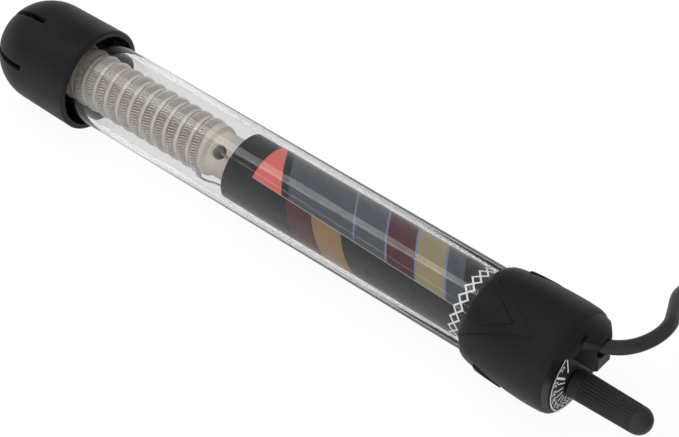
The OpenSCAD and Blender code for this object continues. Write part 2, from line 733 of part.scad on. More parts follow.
// Bush that the spindle turns in, from the stopper to the dial
module spindle_bush() {
    color("#c8a24a") difference() {
        rod(bush_r, bush_start, bush_end, knob_axis[0], knob_axis[1]);
        rod(spindle_r + fit, bush_start - over, bush_end + over, knob_axis[0], knob_axis[1]);
        rod(gland_r, gland_s[0], gland_s[1], knob_axis[0], knob_axis[1]);
    }
}

// Setting knob: plain collar, fluted grip and round tip
module knob() {
    r = knob_d / 2;
    tip_r = r - 0.3;
    collar = 3.2;
    tip = knob_len - tip_r;
    color("#1c1c1d") difference() {
        along(knob_s, knob_axis[0], knob_axis[1]) rotate_extrude() polygon(concat(
            [[0, 0], [r - 0.3, 0], [r, 0.3], [r, collar]],
            arc([0, tip], tip_r, 0, 90, 12)));
        rod(spindle_r + 0.01, knob_s - over, knob_s + spindle_depth + 0.1, knob_axis[0], knob_axis[1]);
        for (k = [0:knob_ribs - 1])
            along(knob_s + collar + 0.5, knob_axis[0], knob_axis[1]) rotate([0, 0, 360 * k / knob_ribs])
                rotate([0, -atan((r - tip_r) / (tip - collar)), 0])
                    translate([r - flute_depth, 0, 0]) linear_extrude(tip - collar - 1)
                        polygon([[0, 0], [1, -1.1], [1, 1.1]]);
    }
}

wire_places = [[1, cord_hole[1]], [3.4, cord_hole[1]]];

// Rubber stopper in the tube's mouth, with its flange between the glass and the head
module glass_stopper() {
    color("#5a5a5c") difference() {
        union() {
            rod(tube_in - fit, stopper_s, tube_end + 0.1);
            rod(tube_r - fit, tube_end + 0.1, seat_s - 0.1);
        }
        rod(bush_r + 0.01, bush_start, seat_s + over, knob_axis[0], knob_axis[1]);
        for (w = wire_places) rod(wire_r + 0.2, bush_start, seat_s + over, w[0], w[1]);
    }
}

// Rubber ring between the glass and the head
module tube_seal() {
    color("#1a1a1a") along(seal_s) rotate_extrude()
        translate([tube_r + seal_r + 0.02, 0]) circle(r = seal_r, $fn = 32);
}

// Radius of the head's barrel: full at its widest station, drawn in towards the mouth
function barrel(s) = head_r
    - barrel_drop * (1 - pow(1 - pow(min(1, (widest_s - s) / (widest_s - head_start)), 3), 1 / 3));

barrel_stations = [for (q = [0, 0.02, 0.06, 0.14, 0.26, 0.42, 0.6, 0.8, 1])
    head_start + q * (widest_s - head_start)];
head_rim = [[head_r, widest_s + 2.5], [head_r - 0.2, dial_s - 2], [rim_r, dial_s - 0.4],
    [rim_r - 0.4, dial_s]];

// Ring under the head's skin, from over its surface down to a depth
module skin_ring(depth) {
    turned(concat([for (s = barrel_stations) [barrel(s) - depth, s]],
        [[head_r + over, widest_s], [head_r + over, head_start - over],
            [barrel(head_start) - depth, head_start - over]]));
}

// Triangle seen square to the skin, cut through it at an angle
module skin_triangle(angle, base_s, apex_s, half) {
    along(0) rotate([0, 0, angle]) rotate([90, 0, 90]) translate([0, 0, tube_r - 3]) linear_extrude(8)
        polygon([[-half, base_s], [half, base_s], [0, apex_s]]);
}

// Head: barrel with moulded triangles, dial floor, hood and the tongue that the lead leaves through
module head_body() {
    color("#1c1c1d") difference() {
        union() {
            turned(concat([[0, head_start]], [for (s = barrel_stations) [barrel(s), s]],
                head_rim, [[0, dial_s]]));
            intersection() {
                turned([[0, dial_s - 1], [rim_r - 0.5, dial_s - 1], [rim_r - 0.6, dial_s],
                    [rim_r - 1.4, dial_s + 0.55 * hood_len], [rim_r - 2.2, dial_s + 0.8 * hood_len],
                    [rim_r - 3.4, hood_s], [0, hood_s]]);
                slab([dial_s - over, hood_s + over], [-head_r, head_r], [hood_floor, head_r]);
            }
            intersection() {
                union() {
                    tongue();
                    along(0, 0, hood_floor) linear_extrude_up(head_r - hood_floor) polygon([
                        [hood_s - 0.1, tongue_y[0] - 2.9], [tongue_end, tongue_y[0] + 0.2],
                        [tongue_end, tongue_y[0] + 1.2], [hood_s - 0.1, tongue_y[0] + 1.2]]);
                }
                turned([[0, dial_s - 1], [rim_r - 0.5, dial_s - 1], [rim_r - 0.6, dial_s],
                    [rim_r - 1.3, dial_s + 0.35 * tongue_len], [rim_r - 2.3, dial_s + 0.7 * tongue_len],
                    [rim_r - 3.2, tongue_end - 0.5], [rim_r - 3.7, tongue_end], [0, tongue_end]]);
            }
        }
        rod(tube_r + fit, head_start - over, seat_s);
        along(seal_s - 1.2) cylinder(r = tube_r + 2 * seal_r + 0.1, h = 2.4);
        rod(bush_r + 0.01, seat_s - over, dial_s + over, knob_axis[0], knob_axis[1]);
        rod(chamber[2], seat_s - over, seat_s + 4, chamber[0], chamber[1]);
        rod(cord_r + 0.25, seat_s, tongue_end + over, cord_hole[0] - 0.2, cord_hole[1]);
        along(tongue_end - 6.5, cord_hole[0], cord_hole[1])
            cylinder(r1 = cord_r + 0.2, r2 = cord_r + 0.9, h = 6.5 + 0.01);
        for (k = [0:3]) intersection() {
            difference() {
                skin_triangle(125 + 90 * k, head_start - over, widest_s + 1.3, 12.3);
                skin_triangle(125 + 90 * k, head_start + 7.2, head_start + 16.8, 5.4);
            }
            skin_ring(mould_depth);
        }
    }
}

// Turns a plan outline of [station, y] points and a rise in z
module linear_extrude_up(rise) {
    rotate([0, -90, -90]) linear_extrude(rise) children();
}

// Raised tongue, which widens to the rim on its outer side
module tongue() {
    y = tongue_y;
    along(0, 0, tongue_z) linear_extrude_up(head_r - tongue_z) polygon([
        [dial_s - 0.5, y[0]], [tongue_end - 0.6, y[0]], [tongue_end, y[0] + 0.6],
        [tongue_end, y[1] - 1], [tongue_end - 0.9, y[1] + 0.2], [dial_s - 0.5, rim_r]]);
}

// Thin dial with its scale, flat on the head's end round the knob
module dial_plate() {
    t = 0.3;
    color("#202022") along(dial_s) linear_extrude(t) difference() {
        intersection() {
            union() {
                translate([0.8, -5.3]) circle(r = 13.9);
                polygon([[-5.2, 8.4], [-13.2, -2], [-1.4, -6], [-1.4, 3]]);
            }
            circle(r = rim_r - 0.5);
        }
        translate(knob_axis) circle(r = bush_r + 0.1);
        translate([tongue_y[0] - 0.2, tongue_z - 0.2]) square(30);
    }
}

// Conductor from the lead's end, through the stopper, to its tab on the board
module conductor(place, tab_at, colour) {
    z = tab_high + wire_r;
    run = chamber_end - bush_start - 1;
    bend = [(place[0] + tab_at[1]) / 2, (place[1] + z) / 2];
    from = bush_start - 4.5;
    to = tab_at[0] + 1;
    route = concat(
        [for (k = [0:3]) [place[0], place[1], chamber_end - run * k / 3]],
        [[bend[0], bend[1], bush_start - 1.6], [tab_at[1], z, from]],
        [[tab_at[1], z, (from + to) / 2], [tab_at[1], z, to]]);
    color(colour) along(0) tube(smooth(route, 3), wire_r, 8);
}

chamber_end = cord_route[0][0] + total_len / 2 - 0.02;

module live_wire() {
    conductor(wire_places[0], tab_places[2], "#7b4a2a");
}

module neutral_wire() {
    conductor(wire_places[1], tab_places[3], "#3a62a8");
}

// Mains lead from the head to the coil
module supply_cord() {
    color("#1a1a1b") tube(smooth(cord_route, 3), cord_r, 10);
}

// Piled coil: spirals in on the floor, climbs one layer as it reverses, and spirals out
coil_half = coil_turns / 2;
function climb(u) = let (q = min(max((u - coil_half) / 0.5 + 0.5, 0), 1)) q * q * (3 - 2 * q);
function coil_at_turn(u) =
    let (r = coil_r - coil_step * (coil_half - abs(u - coil_half)), a = 90 - 360 * u)
    [coil_at[0] + r * cos(a), coil_at[1] + r * sin(a), coil_low + layer_step * climb(u)];
coil_steps = floor(coil_turns * coil_rings);
coil_mid = [for (i = [0:coil_steps]) coil_at_turn(coil_turns * i / coil_steps)];
coil_points = concat(
    [coil_mid[0] + [-cord_d, 0, 0]], coil_mid,
    [coil_mid[coil_steps] + cord_d * [sin(90 - 360 * coil_turns), -cos(90 - 360 * coil_turns), 0]]);

module cord_coil() {
    color("#1a1a1b") tube(coil_points, cord_r, 6);
}

// Mains lead from the coil to the plug
module cord_tail() {
    color("#1a1a1b") tube(smooth(tail_route, 3), cord_r, 10);
}

// Flat tie round the coil's turns
module cord_tie() {
    t = 0.6;
    side = 0.5;
    low = coil_low - cord_r - side / 2;
    high = coil_low + layer_step + cord_r + side / 2;
    from = coil_r - coil_step * coil_half - cord_r - side;
    to = coil_r + cord_r + side;
    color("#2a2a2c") translate([coil_at[0], coil_at[1], 0]) rotate([0, 0, -60])
        translate([0, 2, 0]) rotate([90, 0, 0]) linear_extrude(4) difference() {
            translate([from - t, low - t]) square([to - from + 2 * t, high - low + 2 * t]);
            translate([from, low]) square([to - from, high - low]);
        }
}

// Flat two-pin plug body with a tapered relief for the lead
module plug_body() {
    half = plug_w / 2;
    back = relief_len + plug_len;
    color("#1a1a1b") translate(plug_at) {
        rotate([0, 90, 0]) cylinder(r1 = relief_r[0], r2 = relief_r[1], h = relief_len + 0.5);
        translate([0, 0, -plug_t / 2]) linear_extrude(plug_t) polygon([
            [relief_len, -plug_waist / 2], [relief_len + 9, -half + 4], [relief_len + 15, -half + 0.6],
            [back - 1, -half], [back, -half + 1], [back, half - 1], [back - 1, half],
            [relief_len + 15, half - 0.6], [relief_len + 9, half - 4], [relief_len, plug_waist / 2]]);
    }
}

pin_face = plug_at[0] + relief_len + plug_len;

// Two plug pins
module plug_pins() {
    bare = plug_pin_len - plug_sleeve_len;
    color("#c9c9c6") for (e = [-1, 1])
        translate([pin_face + plug_sleeve_len, plug_at[1] + e * plug_pitch / 2, plug_at[2]])
            rotate([0, 90, 0]) {
                cylinder(d = plug_pin_d, h = bare - 1);
                translate([0, 0, bare - 1]) cylinder(d1 = plug_pin_d, d2 = plug_pin_d - 1.2, h = 1);
            }
}

// Insulating sleeves on the pins' roots
module pin_sleeves() {
    color("#1a1a1b") for (e = [-1, 1])
        translate([pin_face, plug_at[1] + e * plug_pitch / 2, plug_at[2]])
            rotate([0, 90, 0]) cylinder(d = plug_pin_d, h = plug_sleeve_len);
}

echo(total_length = total_len);
echo(winding_least_gap = least_gap(wind_points, core_sides / 2) - wind_d);
echo(coil_least_gap = least_gap(coil_points, coil_rings / 2) - cord_d);
echo(lead_length = length_of(smooth(cord_route, 3)) + length_of(coil_points)
    + length_of(smooth(tail_route, 3)));

guard_cap();
glass_tube();
ceramic_core();
heating_coil();
core_disc();
core_collar();
insulating_sleeve();
label_wrap();
coil_crimps();
lead_near();
lead_return();
thermostat_board();
terminal_tabs();
thermostat_frame();
board_rivets();
bimetal_block();
bimetal_strip();
moving_contact();
contact_arm();
arm_contact();
snap_magnet();
arm_pin();
follower_nut();
spindle();
spindle_clip();
spindle_seals();
spindle_bush();
knob();
glass_stopper();
tube_seal();
head_body();
dial_plate();
live_wire();
neutral_wire();
supply_cord();
cord_coil();
cord_tail();
cord_tie();
plug_body();
plug_pins();
pin_sleeves();
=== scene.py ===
import bpy
import bmesh
import math
from mathutils import Matrix, Vector


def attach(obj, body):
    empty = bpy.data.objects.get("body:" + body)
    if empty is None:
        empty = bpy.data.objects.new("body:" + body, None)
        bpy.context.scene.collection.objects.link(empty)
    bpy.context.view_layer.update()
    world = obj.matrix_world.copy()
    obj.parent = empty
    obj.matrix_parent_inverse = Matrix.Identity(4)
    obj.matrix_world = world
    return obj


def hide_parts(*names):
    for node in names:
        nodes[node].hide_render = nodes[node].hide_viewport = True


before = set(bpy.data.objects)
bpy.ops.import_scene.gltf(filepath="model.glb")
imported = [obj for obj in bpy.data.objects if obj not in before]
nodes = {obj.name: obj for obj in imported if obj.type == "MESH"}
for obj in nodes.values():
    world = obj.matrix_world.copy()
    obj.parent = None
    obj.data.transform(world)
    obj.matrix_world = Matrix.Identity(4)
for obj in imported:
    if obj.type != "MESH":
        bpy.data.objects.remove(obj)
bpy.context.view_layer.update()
scene = bpy.context.scene
scene.view_settings.view_transform = "Standard"

# Stations are millimetres along the heater from the tip of the guard cap
heater = {"length": 275.6, "axisHeight": 18.8}


def place(s, y=0.0, z=0.0):
    return Vector((s - heater["length"] / 2, y, heater["axisHeight"] + z)) / 1000


def polar(s, angle, radius):
    a = math.radians(angle)
    return place(s, radius * math.cos(a), radius * math.sin(a))


def smoothLine(points, steps):
    # a curve through every point, with a few steps from each to the next
    line = []
    count = len(points)
    for i in range(count - 1):
        a, b = Vector(points[max(i - 1, 0)]), Vector(points[i])
        c, d = Vector(points[i + 1]), Vector(points[min(i + 2, count - 1)])
        for k in range(steps):
            t = k / steps
            line.append(0.5 * (2 * b + (c - a) * t + (2 * a - 5 * b + 4 * c - d) * t * t
                               + (3 * b - a - 3 * c + d) * t ** 3))
    line.append(Vector(points[-1]))
    return line


print("camera and light")

camera = {
    "place": (0.38087, -0.44026, 0.59607),
    "right": (0.76694, 0.64172, 0.0),
    "up": (-0.45416, 0.54278, 0.70649),
    "lens": 131.7,
    "sensor": 36,
}


def addCamera(look):
    data = bpy.data.cameras.new("camera")
    data.lens = look["lens"]
    data.sensor_width = look["sensor"]
    data.sensor_fit = "HORIZONTAL"
    data.clip_start, data.clip_end = 0.01, 20
    cam = bpy.data.objects.new("camera", data)
    right, up = Vector(look["right"]).normalized(), Vector(look["up"]).normalized()
    turn = Matrix((right, up, right.cross(up))).transposed().to_4x4()
    cam.matrix_world = Matrix.Translation(look["place"]) @ turn
    scene.collection.objects.link(cam)
    scene.camera = cam


addCamera(camera)


# Each softbox faces a point near the middle of the heater, and only the strip shows in gloss
softboxes = {
    "topStrip": {"place": (-0.3, -0.3, 0.53), "aim": (0, 0, 0), "size": (1.1, 0.018), "watts": 0.17,
                 "mirrored": True},
    "topBox": {"place": (-0.25, -0.2, 0.75), "aim": (0, 0, 0), "size": (1.0, 0.6), "watts": 6.6,
               "mirrored": False},
    "sideBox": {"place": (0.75, -0.55, 0.4), "aim": (0.05, 0, 0), "size": (0.6, 0.6), "watts": 3.0,
                "mirrored": False},
    "backBox": {"place": (0.1, 0.9, 0.5), "aim": (0, 0, 0), "size": (0.9, 0.4), "watts": 2.5,
                "mirrored": False},
}


def addSoftbox(name, look):
    data = bpy.data.lights.new(name, "AREA")
    data.shape = "RECTANGLE"
    data.size, data.size_y = look["size"]
    data.energy = look["watts"]
    lamp = bpy.data.objects.new(name, data)
    lamp.location = look["place"]
    away = Vector(look["place"]) - Vector(look["aim"])
    lamp.rotation_euler = away.to_track_quat("Z", "Y").to_euler()
    lamp.visible_glossy = look["mirrored"]
    scene.collection.objects.link(lamp)


for name, look in softboxes.items():
    addSoftbox(name, look)


# Helpers for materials


def addNode(tree, kind, **settings):
    node = tree.nodes.new(kind)
    for key, value in settings.items():
        setattr(node, key, value)
    return node


def put(tree, value, socket):
    # an output is linked, and a plain number or colour is set on the socket itself
    if isinstance(value, bpy.types.NodeSocket):
        tree.links.new(value, socket)
    else:
        socket.default_value = value


def calc(tree, operation, *values):
    node = addNode(tree, "ShaderNodeMath", operation=operation)
    for socket, value in zip(node.inputs, values):
        put(tree, value, socket)
    return node.outputs[0]


def mixColour(tree, mask, first, second):
    node = addNode(tree, "ShaderNodeMix", data_type="RGBA")
    put(tree, mask, node.inputs[0])
    put(tree, first, node.inputs[6])
    put(tree, second, node.inputs[7])
    return node.outputs[2]


def mirroredRays(tree, path):
    # 1 for rays that a surface mirrors, and 0 for those that glass lets through
    return calc(tree, "MULTIPLY", path.outputs["Is Glossy Ray"],
                calc(tree, "SUBTRACT", 1.0, path.outputs["Is Transmission Ray"]))


def backgroundRays(tree):
    # 1 for the rays that show the background: straight, mirrored or through glass
    path = addNode(tree, "ShaderNodeLightPath")
    seen = calc(tree, "MAXIMUM", path.outputs["Is Camera Ray"], path.outputs["Is Glossy Ray"])
    return calc(tree, "MAXIMUM", seen, path.outputs["Is Transmission Ray"])


# Walls and ceiling show only in gloss. The walls darken upwards, between two slopes of the mirrored ray
studio = {
    "fill": 0.5, "fillTint": (1.0, 0.99, 0.98, 1),
    "walls": 0.6, "ceiling": 0.1, "wallSlopes": (0.1, 0.6),
    "floorTone": (0.86, 0.86, 0.86, 1), "floorRough": 0.9, "floorReach": 4, "floorGlow": 0.94,
    "floorMirrored": 0.6,
}


def addWorld(look):
    world = bpy.data.worlds.new("studio")
    scene.world = world
    world.use_nodes = True
    tree = world.node_tree
    tree.nodes.clear()
    path = addNode(tree, "ShaderNodeLightPath")
    fill = addNode(tree, "ShaderNodeBackground")
    fill.inputs["Color"].default_value = look["fillTint"]
    fill.inputs["Strength"].default_value = look["fill"]
    parts = addNode(tree, "ShaderNodeSeparateXYZ")
    put(tree, addNode(tree, "ShaderNodeTexCoord").outputs["Generated"], parts.inputs[0])
    walls = addNode(tree, "ShaderNodeMapRange")
    put(tree, parts.outputs["Z"], walls.inputs["Value"])
    walls.inputs["From Min"].default_value, walls.inputs["From Max"].default_value = look["wallSlopes"]
    walls.inputs["To Min"].default_value = look["walls"]
    walls.inputs["To Max"].default_value = look["ceiling"]
    mirrored = addNode(tree, "ShaderNodeBackground")
    put(tree, walls.outputs[0], mirrored.inputs["Strength"])
    seen = addNode(tree, "ShaderNodeBackground")
    seen.inputs["Color"].default_value = (1, 1, 1, 1)
    last = fill.outputs[0]
    straight = calc(tree, "MAXIMUM", path.outputs["Is Camera Ray"], path.outputs["Is Transmission Ray"])
    for mask, shown in ((path.outputs["Is Glossy Ray"], mirrored), (straight, seen)):
        mix = addNode(tree, "ShaderNodeMixShader")
        put(tree, mask, mix.inputs[0])
        put(tree, last, mix.inputs[1])
        put(tree, shown.outputs[0], mix.inputs[2])
        last = mix.outputs[0]
    out = addNode(tree, "ShaderNodeOutputWorld")
    put(tree, last, out.inputs[0])


def addFloor(look):
    mesh = bpy.data.meshes.new("floor")
    reach = look["floorReach"]
    corners = [(-reach, -reach, 0), (reach, -reach, 0), (reach, reach, 0), (-reach, reach, 0)]
    mesh.from_pydata(corners, [], [(0, 1, 2, 3)])
    floor = bpy.data.objects.new("floor", mesh)
    scene.collection.objects.link(floor)
    mat = bpy.data.materials.new("paleFloor")
    mat.use_nodes = True
    tree = mat.node_tree
    tree.nodes.clear()
    shader = addNode(tree, "ShaderNodeBsdfPrincipled")
    shader.inputs["Base Color"].default_value = look["floorTone"]
    shader.inputs["Roughness"].default_value = look["floorRough"]
    shader.inputs["Specular IOR Level"].default_value = 0.0
    glow = addNode(tree, "ShaderNodeEmission")
    glow.inputs["Color"].default_value = (1, 1, 1, 1)
    path = addNode(tree, "ShaderNodeLightPath")
    dimmed = calc(tree, "MULTIPLY", mirroredRays(tree, path), 1 - look["floorMirrored"])
    put(tree, calc(tree, "SUBTRACT", 1.0, dimmed), glow.inputs["Strength"])
    mix = addNode(tree, "ShaderNodeMixShader")
    put(tree, calc(tree, "MULTIPLY", backgroundRays(tree), look["floorGlow"]), mix.inputs[0])
    put(tree, shader.outputs[0], mix.inputs[1])
    put(tree, glow.outputs[0], mix.inputs[2])
    out = addNode(tree, "ShaderNodeOutputMaterial")
    put(tree, mix.outputs[0], out.inputs[0])
    mesh.materials.append(mat)


addWorld(studio)
addFloor(studio)


# Shared effects, each a node group that is built once
colourSocket = "NodeSocketColor"
numberSocket = "NodeSocketFloat"


def startGroup(name, inputs, outputs):
    group = bpy.data.node_groups.new(name, "ShaderNodeTree")
    for label, kind, value in inputs:
        socket = group.interface.new_socket(label, in_out="INPUT", socket_type=kind)
        socket.default_value = value
    for label, kind in outputs:
        group.interface.new_socket(label, in_out="OUTPUT", socket_type=kind)
    return group, addNode(group, "NodeGroupInput"), addNode(group, "NodeGroupOutput")


def noise(tree, scale, detail=2.0, vector=None):
    node = addNode(tree, "ShaderNodeTexNoise")
    put(tree, scale, node.inputs["Scale"])
    node.inputs["Detail"].default_value = detail
    if vector is None:
        vector = addNode(tree, "ShaderNodeTexCoord").outputs["Object"]
    put(tree, vector, node.inputs["Vector"])
    return node.outputs["Fac"]


def spread(tree, value, low, high):
    # noise stays mostly between 0.3 and 0.7, and is stretched to the whole of the new range
    node = addNode(tree, "ShaderNodeMapRange")
    put(tree, value, node.inputs["Value"])
    node.inputs["From Min"].default_value, node.inputs["From Max"].default_value = 0.3, 0.7
    put(tree, low, node.inputs["To Min"])
    put(tree, high, node.inputs["To Max"])
    return node.outputs["Result"]


def mottleGroup():
    # slow change of tone and gloss, with a fine grain on top of it
    tree, given, made = startGroup(
        "mottle",
        [("Dark", colourSocket, (0.02, 0.02, 0.02, 1)), ("Light", colourSocket, (0.03, 0.03, 0.03, 1)),
         ("Scale", numberSocket, 60.0), ("Grain Scale", numberSocket, 2500.0),
         ("Smooth", numberSocket, 0.35), ("Rough", numberSocket, 0.5)],
        [("Color", colourSocket), ("Roughness", numberSocket), ("Height", numberSocket)])
    slow = noise(tree, given.outputs["Scale"], 3.0)
    grain = noise(tree, given.outputs["Grain Scale"], 1.0)
    both = calc(tree, "ADD", calc(tree, "MULTIPLY", slow, 0.7), calc(tree, "MULTIPLY", grain, 0.3))
    blendMask = spread(tree, both, 0.0, 1.0)
    put(tree, mixColour(tree, blendMask, given.outputs["Dark"], given.outputs["Light"]), made.inputs["Color"])
    put(tree, spread(tree, slow, given.outputs["Smooth"], given.outputs["Rough"]), made.inputs["Roughness"])
    put(tree, grain, made.inputs["Height"])
    return tree


def drawnLinesGroup():
    # fine lines that rolling or drawing leaves along a metal's length
    tree, given, made = startGroup(
        "drawnLines",
        [("Dark", colourSocket, (0.4, 0.4, 0.4, 1)), ("Light", colourSocket, (0.6, 0.6, 0.6, 1)),
         ("Scale", numberSocket, 900.0), ("Smooth", numberSocket, 0.2), ("Rough", numberSocket, 0.4)],
        [("Color", colourSocket), ("Roughness", numberSocket), ("Height", numberSocket)])
    long = addNode(tree, "ShaderNodeVectorMath", operation="MULTIPLY")
    put(tree, addNode(tree, "ShaderNodeTexCoord").outputs["Object"], long.inputs[0])
    long.inputs[1].default_value = (0.06, 1.0, 1.0)
    lines = noise(tree, given.outputs["Scale"], 2.0, long.outputs[0])
    put(tree, mixColour(tree, spread(tree, lines, 0.0, 1.0), given.outputs["Dark"], given.outputs["Light"]),
        made.inputs["Color"])
    put(tree, spread(tree, lines, given.outputs["Smooth"], given.outputs["Rough"]), made.inputs["Roughness"])
    put(tree, lines, made.inputs["Height"])
    return tree


def axisPlaceGroup():
    # where a point is about the heater's axis: its station in millimetres, and its angle in degrees
    # from a middle line
    tree, given, made = startGroup(
        "axisPlace", [("Middle", numberSocket, 120.0)],
        [("Station", numberSocket), ("Angle", numberSocket)])
    parts = addNode(tree, "ShaderNodeSeparateXYZ")
    put(tree, addNode(tree, "ShaderNodeTexCoord").outputs["Object"], parts.inputs[0])
    station = calc(tree, "MULTIPLY_ADD", parts.outputs["X"], 1000.0, heater["length"] / 2)
    put(tree, station, made.inputs["Station"])
    y = calc(tree, "MULTIPLY", parts.outputs["Y"], 1000.0)
    z = calc(tree, "MULTIPLY_ADD", parts.outputs["Z"], 1000.0, -heater["axisHeight"])
    middle = calc(tree, "RADIANS", given.outputs["Middle"])
    c, s = calc(tree, "COSINE", middle), calc(tree, "SINE", middle)
    across = calc(tree, "ADD", calc(tree, "MULTIPLY", y, c), calc(tree, "MULTIPLY", z, s))
    along = calc(tree, "SUBTRACT", calc(tree, "MULTIPLY", z, c), calc(tree, "MULTIPLY", y, s))
    put(tree, calc(tree, "DEGREES", calc(tree, "ARCTAN2", along, across)), made.inputs["Angle"])
    return tree


groups = {"mottle": mottleGroup(), "drawnLines": drawnLinesGroup(), "axisPlace": axisPlaceGroup()}


def useGroup(tree, name, **values):
    node = addNode(tree, "ShaderNodeGroup", node_tree=groups[name])
    for socket in node.inputs:
        key = socket.name[0].lower() + socket.name[1:].replace(" ", "")
        if key in values:
            put(tree, values[key], socket)
    return node


def startMaterial(name, look):
    mat = bpy.data.materials.new(name)
    mat.use_nodes = True
    tree = mat.node_tree
    tree.nodes.clear()
    shader = addNode(tree, "ShaderNodeBsdfPrincipled")
    out = addNode(tree, "ShaderNodeOutputMaterial")
    put(tree, shader.outputs[0], out.inputs[0])
    for socket, value in look.get("shader", {}).items():
        shader.inputs[socket].default_value = value
    return mat, tree, shader


def addBump(tree, shader, height, depth):
    bump = addNode(tree, "ShaderNodeBump")
    bump.inputs["Distance"].default_value = depth / 1000
    put(tree, height, bump.inputs["Height"])
    put(tree, bump.outputs[0], shader.inputs["Normal"])
    return bump


def roundEdges(tree, bump, radius):
    edge = addNode(tree, "ShaderNodeBevel", samples=4)
    edge.inputs["Radius"].default_value = radius / 1000
    put(tree, edge.outputs[0], bump.inputs["Normal"])


def grained(name, look):
    mat, tree, shader = startMaterial(name, look)
    effect = useGroup(tree, look["effect"], **look["values"])
    put(tree, effect.outputs["Color"], shader.inputs["Base Color"])
    put(tree, effect.outputs["Roughness"], shader.inputs["Roughness"])
    bump = addBump(tree, shader, effect.outputs["Height"], look["depth"])
    if look.get("edge"):
        roundEdges(tree, bump, look["edge"])
    return mat


print("materials")

